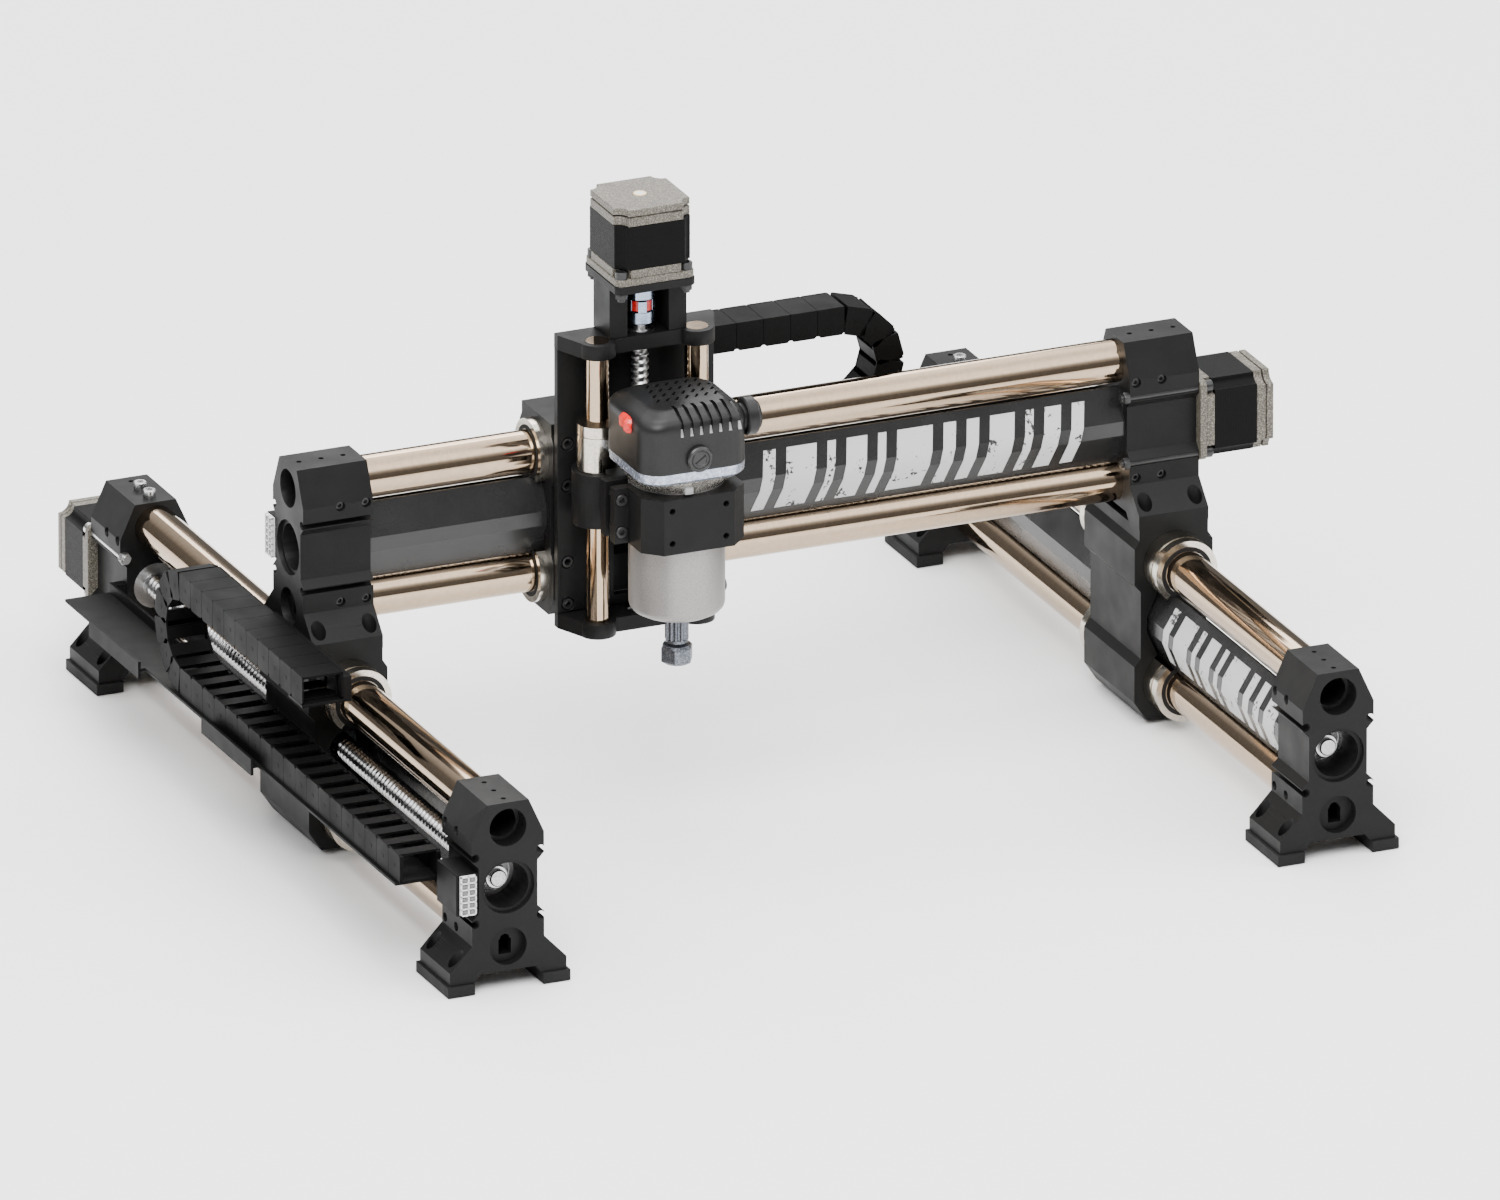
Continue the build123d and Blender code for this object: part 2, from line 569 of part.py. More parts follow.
def ball_nut():
    """A flanged ball nut about the screw axis, along Y."""
    half = NUT_LENGTH / 2
    nut = rod(NUT_R, -half, half)
    nut -= rod(SCREW_R + RUNNING_GAP, -half - 1, half + 1)
    return solid(nut)


# ---------------------------------------------------------------- motors and screws
def bolt_places():
    return [(sx * MOTOR_BOLT_OFFSET, sz * MOTOR_BOLT_OFFSET) for sx in (-1, 1) for sz in (-1, 1)]


def square_plate(size, corner, start, end):
    """A square plate with rounded corners, along Y."""
    sketch = Plane.XZ * RectangleRounded(size, size, corner)
    return Pos(0, end, 0) * extrude(sketch, end - start)


def motor():
    """A stepper motor along +Y from its mounting face at Y = 0: flange, laminated core, end cap."""
    core_start = MOTOR_FLANGE_THICK
    cap_start = core_start + MOTOR_CORE_LENGTH
    total = cap_start + MOTOR_CAP_THICK
    flange = square_plate(MOTOR_SIZE, MOTOR_CORNER, 0, core_start)
    core = square_plate(MOTOR_CORE_SIZE, MOTOR_CORNER, core_start, cap_start)
    cap = square_plate(MOTOR_CORE_SIZE, MOTOR_CORNER, cap_start, total)
    half = MOTOR_SIZE / 2 + 1
    inner = MOTOR_SIZE / 2 - MOTOR_CORNER_NOTCH
    for sx in (-1, 1):
        for sz in (-1, 1):
            corner = block(sx * inner, sx * half, MOTOR_FLANGE_PLATE, total + 1, sz * inner, sz * half)
            flange -= corner
            core -= corner
            cap -= corner
    for x, z in bolt_places():
        flange -= rod(MOTOR_BOLT_HOLE_R, -1, MOTOR_FLANGE_PLATE + 1, x=x, z=z)
    shaft_hole = rod(MOTOR_SHAFT_R + RUNNING_GAP, -1, total + 1)
    return [solid(flange - shaft_hole), solid(core - shaft_hole), solid(cap - shaft_hole)]


def motor_bolts(grip):
    """Bolts through the motor flange and a plate of thickness grip, with their nuts."""
    pieces = []
    nut_start = -grip - MOTOR_BOLT_NUT_HEIGHT
    for x, z in bolt_places():
        shank = rod(MOTOR_BOLT_R, nut_start - 2, MOTOR_FLANGE_PLATE, x=x, z=z)
        head_end = MOTOR_FLANGE_PLATE + MOTOR_BOLT_HEAD_HEIGHT
        head = rod(MOTOR_BOLT_HEAD_R, MOTOR_FLANGE_PLATE, head_end, x=x, z=z)
        pieces.append(solid(shank + head))
        hexagon = Plane.XZ * Pos(x, z) * RegularPolygon(MOTOR_BOLT_NUT_R, 6)
        nut = Pos(0, -grip, 0) * extrude(hexagon, MOTOR_BOLT_NUT_HEIGHT)
        nut -= rod(MOTOR_BOLT_R, nut_start - 1, -grip + 1, x=x, z=z)
        pieces.append(solid(nut))
    return pieces


def coupling(radius, start, hub, spider, bore_near, bore_far):
    """A jaw coupling along Y: two hubs and the spider between them."""
    near = rod(radius, start, start + hub) - rod(bore_near, start - 1, start + hub + 1)
    middle = rod(radius, start + hub, start + hub + spider)
    far_start = start + hub + spider
    far = rod(radius, far_start, far_start + hub) - rod(bore_far, far_start - 1, far_start + hub + 1)
    return [solid(near), solid(middle), solid(far)]


def long_screw(free_length):
    """A ball screw along Y about Y = 0, between two plates free_length apart, with its lock nut,
    coupling and motor shaft. The motor is at the +Y end."""
    thread = free_length / 2 - 1
    hub_start = free_length / 2 + BALL_BEARING_WIDTH + SCREW_SPACER
    bearing_start = -free_length / 2 - FRONT_BEARING_INSET - BALL_BEARING_WIDTH
    nut_start = bearing_start - SCREW_SPACER - LOCK_NUT_HEIGHT
    shaft = rod(SCREW_R, -thread, thread)
    shaft += rod(JOURNAL_R, nut_start - 3, -thread)
    shaft += rod(JOURNAL_R, thread, hub_start + COUPLING_HUB)
    hexagon = Plane.XZ * RegularPolygon(LOCK_NUT_AF / 2, 6, major_radius=False)
    nut = Pos(0, nut_start + LOCK_NUT_HEIGHT, 0) * extrude(hexagon, LOCK_NUT_HEIGHT)
    nut -= rod(JOURNAL_R, nut_start - 1, nut_start + LOCK_NUT_HEIGHT + 1)
    hubs = coupling(COUPLING_R, hub_start, COUPLING_HUB, COUPLING_SPIDER, JOURNAL_R, MOTOR_SHAFT_R)
    motor_shaft = rod(MOTOR_SHAFT_R, hub_start + COUPLING_HUB + COUPLING_SPIDER,
                      free_length / 2 + PLATE_DEPTH + MOTOR_FLANGE_THICK + MOTOR_CORE_LENGTH)
    return [solid(shaft), solid(nut), *hubs, solid(motor_shaft)]


# ---------------------------------------------------------------- Y axes
def make_feet():
    foot = end_plate()
    screws = clamp_screws()
    ends = ((-PLATE_OUTER_Y, 0), (PLATE_OUTER_Y, 180))
    feet = []
    fasteners = []
    for x in (LEFT_X, RIGHT_X):
        for y, angle in ends:
            feet.append(turned(foot, angle, (x, y, PAD_HEIGHT)))
            fasteners += [turned(screw, angle, (x, y, PAD_HEIGHT)) for screw in screws]
    save("feet", *feet)
    for x in (LEFT_X, RIGHT_X):
        fasteners += [Pos(x, PLATE_OUTER_Y, Y_SCREW_Z) * piece for piece in motor_bolts(PLATE_DEPTH)]
    save("base_fasteners", *fasteners)
    save("foot_pads", *foot_pads())


def make_y_axes():
    free = 2 * PLATE_INNER_Y
    guide = tube(free + 2 * TUBE_SEAT_DEPTH)
    save("y_tubes", *[Pos(x, 0, z) * guide for x in (LEFT_X, RIGHT_X) for z in Y_TUBE_ZS])
    panel = cover(free - 2 * COVER_END_GAP)
    left_cover = turned(panel, 180, (LEFT_X, 0, Y_SCREW_Z))
    right_cover = turned(panel, 0, (RIGHT_X, 0, Y_SCREW_Z))
    save("y_covers", left_cover, right_cover)
    bearing = ball_bearing(BALL_BEARING_R, JOURNAL_R, BALL_BEARING_WIDTH)
    ends = (-PLATE_INNER_Y - FRONT_BEARING_INSET - BALL_BEARING_WIDTH, PLATE_INNER_Y)
    places = [(x, y) for x in (LEFT_X, RIGHT_X) for y in ends]
    save("y_screw_bearings", *[Pos(x, y, Y_SCREW_Z) * bearing for x, y in places])
    for side, x in (("left", LEFT_X), ("right", RIGHT_X)):
        save(f"y_{side}_motor", *[Pos(x, PLATE_OUTER_Y, Y_SCREW_Z) * piece for piece in motor()])
        save(f"y_{side}_screw", *[Pos(x, 0, Y_SCREW_Z) * piece for piece in long_screw(free)])


# ---------------------------------------------------------------- gantry
def make_gantry():
    y_block = carriage_block(Y_BLOCK_LENGTH)
    sides = (("left", LEFT_X, 180), ("right", RIGHT_X, 0))
    bushings = []
    nuts = []
    for side, x, angle in sides:
        at = (x, GANTRY_Y, Y_SCREW_Z)
        save(f"y_{side}_block", turned(y_block, angle, at))
        bushings += [turned(piece, angle, at) for piece in axis_bushings()]
        nuts.append(turned(ball_nut(), angle, at))
    save("y_bushings", *bushings)
    save("y_ball_nuts", *nuts)
    plate = end_plate()
    screws = clamp_screws()
    fasteners = []
    for side, x, angle in (("left", -GANTRY_OUTER_X, -90), ("right", GANTRY_OUTER_X, 90)):
        at = (x, GANTRY_Y, GANTRY_BASE_Z)
        save(f"{side}_end_plate", turned(plate, angle, at))
        fasteners += [turned(screw, angle, at) for screw in screws]
    to_motor = (GANTRY_OUTER_X, GANTRY_Y, X_SCREW_Z)
    fasteners += [turned(piece, -90, to_motor) for piece in motor_bolts(PLATE_DEPTH)]
    save("gantry_fasteners", *fasteners)


def make_x_axis():
    free = 2 * GANTRY_INNER_X
    centre = (0, GANTRY_Y, X_SCREW_Z)
    guide = tube(free + 2 * TUBE_SEAT_DEPTH)
    save("x_tubes", *[turned(guide, -90, (0, GANTRY_Y, z)) for z in X_TUBE_ZS])
    save("x_cover", turned(cover(free - 2 * COVER_END_GAP), 90, centre))
    bearing = ball_bearing(BALL_BEARING_R, JOURNAL_R, BALL_BEARING_WIDTH)
    ends = (-GANTRY_INNER_X - FRONT_BEARING_INSET - BALL_BEARING_WIDTH, GANTRY_INNER_X)
    save("x_screw_bearings", *[turned(bearing, -90, (x, GANTRY_Y, X_SCREW_Z)) for x in ends])
    face = (GANTRY_OUTER_X, GANTRY_Y, X_SCREW_Z)
    save("x_motor", *[turned(piece, -90, face) for piece in motor()])
    save("x_screw", *[turned(piece, -90, centre) for piece in long_screw(free)])
    at = (CARRIAGE_X, GANTRY_Y, X_SCREW_Z)
    save("x_block", turned(carriage_block(X_BLOCK_LENGTH), 90, at))
    save("x_bushings", *[turned(piece, 90, at) for piece in axis_bushings()])
    save("x_ball_nut", turned(ball_nut(), 90, at))


# ---------------------------------------------------------------- Z axis frame
def z_end_outline():
    """Plan of the Z frame's top and bottom plates: a straight back, and a lobe round each rail."""
    shoulder_y = Z_PLATE_FRONT_Y
    left = Pos(-Z_RAIL_HALF_SPACING, Z_RAIL_Y) * Circle(Z_LOBE_R)
    right = Pos(Z_RAIL_HALF_SPACING, Z_RAIL_Y) * Circle(Z_LOBE_R)
    outer = Z_RAIL_HALF_SPACING + Z_LOBE_R * cos(radians(LOBE_TANGENT_ANGLE))
    side_y = Z_RAIL_Y - Z_LOBE_R * sin(radians(LOBE_TANGENT_ANGLE))
    web = make_face(Polyline(
        (-Z_PLATE_HALF, X_BLOCK_FRONT_Y), (Z_PLATE_HALF, X_BLOCK_FRONT_Y), (Z_PLATE_HALF, shoulder_y),
        (outer, side_y), (Z_RAIL_HALF_SPACING, Z_RAIL_Y), (Z_RAIL_HALF_SPACING - Z_LOBE_R, Z_FRONT_EDGE_Y),
        (-Z_RAIL_HALF_SPACING + Z_LOBE_R, Z_FRONT_EDGE_Y), (-Z_RAIL_HALF_SPACING, Z_RAIL_Y),
        (-outer, side_y), (-Z_PLATE_HALF, shoulder_y), close=True))
    return web + left + right


def z_end_plate(z0, screw_hole):
    plate = extrude(Pos(0, 0, z0) * z_end_outline(), Z_END_THICK)
    for side in (-1, 1):
        x = side * Z_RAIL_HALF_SPACING
        plate -= rod(Z_RAIL_R + SEAT_GAP, z0 - 1, z0 + Z_END_THICK + 1, "Z", x=x, y=Z_RAIL_Y)
    plate -= rod(screw_hole, z0 - 1, z0 + Z_END_THICK + 1, "Z", y=Z_SCREW_Y)
    return solid(Pos(CARRIAGE_X, 0, 0) * plate)


def upright(piece):
    """Stand a piece that lies along +Y up along +Z on the Z screw's axis."""
    return Pos(CARRIAGE_X, Z_SCREW_Y, 0) * (Rot(90, 0, 0) * piece)


def make_z_frame():
    bottom = Z_FRAME_BOTTOM
    top = Z_FRAME_TOP - Z_END_THICK
    save("z_top_plate", z_end_plate(top, Z_BEARING_R + SEAT_GAP), lift=Z_LEVEL)
    save("z_bottom_plate", z_end_plate(bottom, Z_BEARING_R + SEAT_GAP), lift=Z_LEVEL)
    back = block(-Z_PLATE_HALF, Z_PLATE_HALF, Z_PLATE_FRONT_Y, X_BLOCK_FRONT_Y, bottom + Z_END_THICK, top)
    window_low = Z_NUT_Z[0] + Z_TRAVEL[0] - Z_WINDOW_MARGIN
    window_high = Z_NUT_Z[1] + Z_TRAVEL[1] + Z_WINDOW_MARGIN
    back -= block(-Z_WINDOW_HALF, Z_WINDOW_HALF, Z_PLATE_FRONT_Y - 1, X_BLOCK_FRONT_Y + 1,
                  window_low, window_high)
    screw_heads = []
    edge = Z_PLATE_HALF - Z_PLATE_SCREW_INSET
    for x in (-edge, edge):
        for z in X_TUBE_ZS:
            for dz in (-Z_PLATE_SCREW_SPREAD, Z_PLATE_SCREW_SPREAD):
                seat = Z_PLATE_FRONT_Y + Z_SCREW_HEAD_SEAT_DEPTH
                at = {"x": x, "z": z + dz - Z_LEVEL}
                back -= rod(Z_SCREW_HOLE_R, Z_PLATE_FRONT_Y - 1, X_BLOCK_FRONT_Y + 1, **at)
                back -= rod(Z_SCREW_HEAD_SEAT_R, Z_PLATE_FRONT_Y - 1, seat, **at)
                head = rod(Z_SCREW_HEAD_R, Z_PLATE_FRONT_Y + 0.5, seat, **at)
                head += rod(Z_SCREW_SHANK_R, seat, X_BLOCK_FRONT_Y, **at)
                screw_heads.append(solid(Pos(CARRIAGE_X, 0, 0) * head))
    save("z_back_plate", solid(Pos(CARRIAGE_X, 0, 0) * back), lift=Z_LEVEL)
    rails = []
    for x in (CARRIAGE_X - Z_RAIL_HALF_SPACING, CARRIAGE_X + Z_RAIL_HALF_SPACING):
        rails.append(rod(Z_RAIL_R, Z_FRAME_BOTTOM, Z_FRAME_TOP, "Z", x=x, y=Z_RAIL_Y))
    save("z_rails", *rails, lift=Z_LEVEL)
    bearing = ball_bearing(Z_BEARING_R, Z_JOURNAL_R, Z_BEARING_WIDTH)
    bearings = []
    for z in (top + Z_END_THICK - Z_BEARING_WIDTH, bottom):
        bearings.append(Pos(0, 0, z) * upright(bearing))
    save("z_screw_bearings", *bearings, lift=Z_LEVEL)
    return screw_heads


def make_z_motor():
    half = RISER_WIDTH / 2
    y_front = -RISER_DEPTH / 2
    y_back = RISER_DEPTH / 2
    riser = block(-half, half, y_front, y_back, Z_FRAME_TOP, RISER_TOP)
    riser -= block(-RISER_WINDOW / 2, RISER_WINDOW / 2, y_front - 1, y_back - RISER_BACK,
                   Z_FRAME_TOP - 1, RISER_TOP + 1)
    plate = extrude(Pos(0, 0, RISER_TOP) * RectangleRounded(MOTOR_SIZE + 1, MOTOR_SIZE + 1, MOTOR_CORNER),
                    MOTOR_PLATE_THICK)
    plate -= rod(MOTOR_PILOT_R, RISER_TOP - 1, Z_MOTOR_FACE + 1, "Z")
    for x, y in bolt_places():
        plate -= rod(MOTOR_BOLT_HOLE_R, RISER_TOP - 1, Z_MOTOR_FACE + 1, "Z", x=x, y=y)
        riser -= rod(MOTOR_BOLT_NUT_R + 0.6, RISER_TOP - MOTOR_BOLT_NUT_HEIGHT - 3, RISER_TOP,
                     "Z", x=x, y=y)
    save("z_motor_riser", solid(Pos(CARRIAGE_X, Z_SCREW_Y, 0) * (riser + plate)), lift=Z_LEVEL)
    save("z_motor", *[Pos(0, 0, Z_MOTOR_FACE) * upright(piece) for piece in motor()], lift=Z_LEVEL)
    return [Pos(0, 0, Z_MOTOR_FACE) * upright(piece) for piece in motor_bolts(MOTOR_PLATE_THICK)]


def make_z_screw():
    low = Z_FRAME_BOTTOM
    top = Z_FRAME_TOP
    shaft = rod(Z_SCREW_R, low + Z_END_THICK + 1, top - Z_END_THICK - 1, "Z")
    shaft += rod(Z_JOURNAL_R, low + 1, low + Z_END_THICK + 1, "Z")
    hub_start = top + Z_COUPLING_GAP
    shaft += rod(Z_JOURNAL_R, top - Z_END_THICK - 1, hub_start + Z_COUPLING_HUB, "Z")
    hubs = coupling(Z_COUPLING_R, 0, Z_COUPLING_HUB, COUPLING_SPIDER, Z_JOURNAL_R, MOTOR_SHAFT_R)
    motor_shaft = rod(MOTOR_SHAFT_R, hub_start + Z_COUPLING_HUB + COUPLING_SPIDER,
                      Z_MOTOR_FACE + MOTOR_FLANGE_THICK + MOTOR_CORE_LENGTH, "Z")
    pieces = [Pos(0, 0, hub_start) * upright(piece) for piece in hubs]
    place = Pos(CARRIAGE_X, Z_SCREW_Y, 0)
    save("z_screw", solid(place * shaft), *pieces, solid(place * motor_shaft), lift=Z_LEVEL)


# ---------------------------------------------------------------- Z slide
def make_z_slide():
    z0, z1 = HOLDER_Z
    web_back = WEB_FRONT_Y + WEB_THICK
    holder = block(-Z_RAIL_HALF_SPACING, Z_RAIL_HALF_SPACING, WEB_FRONT_Y, web_back, z0, z1)
    holder += block(-NUT_BRIDGE_HALF, NUT_BRIDGE_HALF, web_back, Z_SCREW_Y, Z_NUT_Z[0], Z_NUT_Z[1])
    for side in (-1, 1):
        x = side * Z_RAIL_HALF_SPACING
        holder += rod(HOLDER_R, z0, z1, "Z", x=x, y=Z_RAIL_Y)
    for side in (-1, 1):
        x = side * Z_RAIL_HALF_SPACING
        holder -= rod(Z_BUSH_R + SEAT_GAP, z0 - 1, z1 + 1, "Z", x=x, y=Z_RAIL_Y)
    holder -= rod(Z_NUT_R + SEAT_GAP, z0 - 1, z1 + 1, "Z", y=Z_SCREW_Y)
    save("z_slide_block", solid(Pos(CARRIAGE_X, 0, 0) * holder), lift=Z_LEVEL)
    bushes = []
    for side in (-1, 1):
        x = CARRIAGE_X + side * Z_RAIL_HALF_SPACING
        bush = rod(Z_BUSH_R, *Z_BUSH_Z, "Z", x=x, y=Z_RAIL_Y)
        bush -= rod(Z_RAIL_R + RUNNING_GAP, Z_BUSH_Z[0] - 1, Z_BUSH_Z[1] + 1, "Z", x=x, y=Z_RAIL_Y)
        groove = Z_BUSH_Z[1] - BUSH_GROOVE_INSET
        ring = rod(Z_BUSH_R + 1, groove, groove + Z_BUSH_GROOVE_WIDTH, "Z", x=x, y=Z_RAIL_Y)
        ring -= rod(Z_BUSH_R - Z_BUSH_GROOVE_DEPTH, groove - 1, groove + 3, "Z", x=x, y=Z_RAIL_Y)
        bushes.append(solid(bush - ring))
    save("z_bushings", *bushes, lift=Z_LEVEL)
    nut = rod(Z_NUT_R, *Z_NUT_Z, "Z", x=CARRIAGE_X, y=Z_SCREW_Y)
    nut -= rod(Z_SCREW_R + RUNNING_GAP, Z_NUT_Z[0] - 1, Z_NUT_Z[1] + 1, "Z", x=CARRIAGE_X, y=Z_SCREW_Y)
    save("z_nut", solid(nut), lift=Z_LEVEL)


def router_place(part):
    return Pos(CARRIAGE_X, ROUTER_Y, 0) * part


def make_router_clamp():
    z0, z1 = CLAMP_Z
    back = WEB_FRONT_Y - ROUTER_Y
    outline = make_face(Polyline(
        (-CLAMP_HALF, back), (CLAMP_HALF, back), (CLAMP_HALF, -CLAMP_FRONT + CLAMP_HALF - CLAMP_FACE_HALF),
        (CLAMP_FACE_HALF, -CLAMP_FRONT), (-CLAMP_FACE_HALF, -CLAMP_FRONT),
        (-CLAMP_HALF, -CLAMP_FRONT + CLAMP_HALF - CLAMP_FACE_HALF), close=True))
    clamp = extrude(Pos(0, 0, z0) * outline, z1 - z0)
    clamp += block(-EAR_REACH, -ROUTER_R, EAR_Y[0], EAR_Y[1], z0, z1)
    clamp -= rod(ROUTER_R + SEAT_GAP, z0 - 1, z1 + 1, "Z")
    clamp -= block(-EAR_REACH - 1, -ROUTER_R + EAR_SLOT_REACH, EAR_GAP_Y[0], EAR_GAP_Y[1], z0 - 1, z1 + 1)
    screws = []
    middle = -(EAR_REACH + CLAMP_HALF) / 2
    seat = EAR_Y[0] + EAR_HEAD_SEAT_DEPTH
    for dz in EAR_SCREW_Z:
        clamp -= rod(EAR_HOLE_R, EAR_Y[0] - 1, EAR_Y[1] + 1, x=middle, z=z0 + dz)
        clamp -= rod(EAR_HEAD_SEAT_R, EAR_Y[0] - 1, seat, x=middle, z=z0 + dz)
        screw = rod(EAR_SCREW_R, seat, EAR_Y[1], x=middle, z=z0 + dz)
        screw += rod(EAR_HEAD_R, EAR_Y[0] - 1, seat, x=middle, z=z0 + dz)
        screws.append(solid(router_place(screw)))
        for x in (-CLAMP_TAP_HALF_WIDTH, CLAMP_TAP_HALF_WIDTH):
            clamp -= rod(CLAMP_TAP_R, -CLAMP_FRONT - 1, -CLAMP_FRONT + CLAMP_TAP_DEPTH, x=x, z=z0 + dz)
    save("router_clamp", solid(router_place(clamp)), lift=Z_LEVEL)
    save("clamp_screws", *screws, lift=Z_LEVEL)


def make_router():
    body = rod(ROUTER_R, ROUTER_BOTTOM, ROUTER_TOP, "Z")
    rim = body.edges().group_by(Axis.Z)[0]
    body = chamfer(rim, ROUTER_NOSE_CHAMFER)
    nose_top = ROUTER_BOTTOM + NOSE_BEARING_HEIGHT
    body -= rod(ROUTER_R - ROUTER_WALL, nose_top, ROUTER_TOP + 1, "Z")
    body -= rod(SPINDLE_R + RUNNING_GAP, ROUTER_BOTTOM - 1, nose_top + 1, "Z")
    body -= rod(LOCK_BUTTON_R + BUTTON_GAP, 0, ROUTER_R + 1, "X", z=LOCK_BUTTON_Z)
    save("router_body", solid(router_place(body)), lift=Z_LEVEL)
    lower = Pos(0, 0, ROUTER_TOP) * Circle(ROUTER_R)
    upper = Pos(0, 0, SKIRT_TOP) * RectangleRounded(2 * HOUSING_HALF_X, 2 * HOUSING_HALF_Y, HOUSING_CORNER)
    skirt = loft([lower, upper])
    skirt -= rod(SKIRT_BORE_R, ROUTER_TOP - 1, SKIRT_TOP + 1, "Z")
    save("router_skirt", solid(router_place(skirt)), lift=Z_LEVEL)
    outline = RectangleRounded(2 * HOUSING_HALF_X, 2 * HOUSING_HALF_Y, HOUSING_CORNER)
    inside = RectangleRounded(2 * (HOUSING_HALF_X - HOUSING_WALL), 2 * (HOUSING_HALF_Y - HOUSING_WALL),
                              HOUSING_CORNER - HOUSING_WALL)
    shell = extrude(Pos(0, 0, SKIRT_TOP) * outline, HOUSING_TOP - SKIRT_TOP)
    rim = shell.edges().group_by(Axis.Z)[-1]
    shell = fillet(rim, HOUSING_RIM_R)
    roof = HOUSING_TOP - HOUSING_RIM_R
    shell -= extrude(Pos(0, 0, SKIRT_TOP - 1) * inside, roof - SKIRT_TOP + 1)
    switch_low = SWITCH_Y - SWITCH_HALF_LENGTH - SWITCH_GAP
    switch_high = SWITCH_Y + SWITCH_HALF_LENGTH + SWITCH_GAP
    shell -= block(-HOUSING_HALF_X - 1, -HOUSING_HALF_X + HOUSING_WALL + 1, switch_low, switch_high,
                   SWITCH_Z[0] - SWITCH_GAP, SWITCH_Z[1] + SWITCH_GAP)
    caps = []
    for side in (-1, 1):
        proud = side * (HOUSING_HALF_Y + BRUSH_CAP_PROUD)
        start, end = sorted((side * (HOUSING_HALF_Y - BRUSH_CAP_SEAT), proud))
        cap = rod(BRUSH_CAP_R, start, end, z=BRUSH_CAP_Z)
        shell -= rod(BRUSH_CAP_R + SEAT_GAP, start, end, z=BRUSH_CAP_Z)
        cap -= block(-BRUSH_SLOT_HALF, BRUSH_SLOT_HALF, proud - 1, proud + 1,
                     BRUSH_CAP_Z - BRUSH_SLOT_WIDTH / 2, BRUSH_CAP_Z + BRUSH_SLOT_WIDTH / 2)
        caps.append(solid(router_place(cap)))
    wall_in = HOUSING_HALF_X - HOUSING_WALL
    gland_end = HOUSING_HALF_X + GLAND_LENGTH
    at = {"y": GLAND_Y, "z": GLAND_Z}
    gland = rod(GLAND_R, HOUSING_HALF_X, gland_end, "X", **at)
    gland += rod(GLAND_NECK_R, wall_in, HOUSING_HALF_X + 1, "X", **at)
    gland -= rod(GLAND_BORE_R, wall_in - 1, gland_end + 1, "X", **at)
    shell -= rod(GLAND_NECK_R + SEAT_GAP, wall_in - 1, HOUSING_HALF_X + 1, "X", **at)
    housing = max(router_place(shell).solids(), key=lambda piece: piece.volume)
    save("router_housing", housing, lift=Z_LEVEL)
    save("brush_caps", *caps, lift=Z_LEVEL)
    save("cord_gland", solid(router_place(gland)), lift=Z_LEVEL)


def make_spindle():
    neck_bottom = COLLET_NUT_Z[0] + COLLET_NUT_FLOOR
    spindle = rod(SPINDLE_R, COLLET_NUT_Z[1], SPINDLE_TOP, "Z")
    spindle += rod(SPINDLE_TIP_R, neck_bottom, COLLET_NUT_Z[1], "Z")
    spindle += rod(ARMATURE_R, *ARMATURE_Z, "Z")
    spindle -= rod(COLLET_BORE_R, neck_bottom - 1, neck_bottom + COLLET_BORE_DEPTH, "Z")
    save("spindle", solid(router_place(spindle)), lift=Z_LEVEL)
    hexagon = Pos(0, 0, COLLET_NUT_Z[0]) * RegularPolygon(COLLET_NUT_AF / 2, 6, major_radius=False)
    nut = extrude(hexagon, COLLET_NUT_Z[1] - COLLET_NUT_Z[0])
    nut -= rod(SPINDLE_TIP_R + SEAT_GAP, neck_bottom, COLLET_NUT_Z[1] + 1, "Z")
    nut -= rod(COLLET_MOUTH_R, COLLET_NUT_Z[0] - 1, neck_bottom + 1, "Z")
    save("collet_nut", solid(router_place(nut)), lift=Z_LEVEL)


def make_buttons():
    low, high = SWITCH_Z
    rocker = block(-HOUSING_HALF_X - SWITCH_PROUD, -HOUSING_HALF_X + HOUSING_WALL,
                   SWITCH_Y - SWITCH_HALF_LENGTH, SWITCH_Y + SWITCH_HALF_LENGTH, low, high)
    save("power_switch", solid(router_place(rocker)), lift=Z_LEVEL)
    button = rod(LOCK_BUTTON_R, ROUTER_R - LOCK_BUTTON_DEPTH, ROUTER_R + LOCK_BUTTON_PROUD, "X",
                 z=LOCK_BUTTON_Z)
    save("spindle_lock_button", solid(router_place(button)), lift=Z_LEVEL)


# ---------------------------------------------------------------- cable chains
def chain_run(start, end):
    """A straight run of cable chain along Y, hollow, centred in X and Z."""
    half = CHAIN_WIDTH / 2
    tall = CHAIN_HEIGHT / 2
    run = block(-half, half, start, end, -tall, tall)
    inner_half = half - CHAIN_WALL
    inner_tall = tall - CHAIN_WALL
    run -= block(-inner_half, inner_half, start - 1, end + 1, -inner_tall, inner_tall)
    return solid(run)


def chain_bend():
    """The half-turn of a cable chain, bulging to +Y, from the lower run at Z = 0 to the upper one."""
    half = CHAIN_WIDTH / 2
    outer = CHAIN_RADIUS + CHAIN_HEIGHT / 2
    inner = CHAIN_RADIUS - CHAIN_HEIGHT / 2
    centre = CHAIN_RADIUS
    bend = rod(outer, -half, half, "X", z=centre) - rod(inner, -half - 1, half + 1, "X", z=centre)
    hollow = rod(outer - CHAIN_WALL, -half + CHAIN_WALL, half - CHAIN_WALL, "X", z=centre)
    hollow -= rod(inner + CHAIN_WALL, -half, half, "X", z=centre)
    bend -= hollow
    bend -= block(-half - 1, half + 1, -outer - 1, 0, centre - outer - 1, centre + outer + 1)
    return solid(bend)


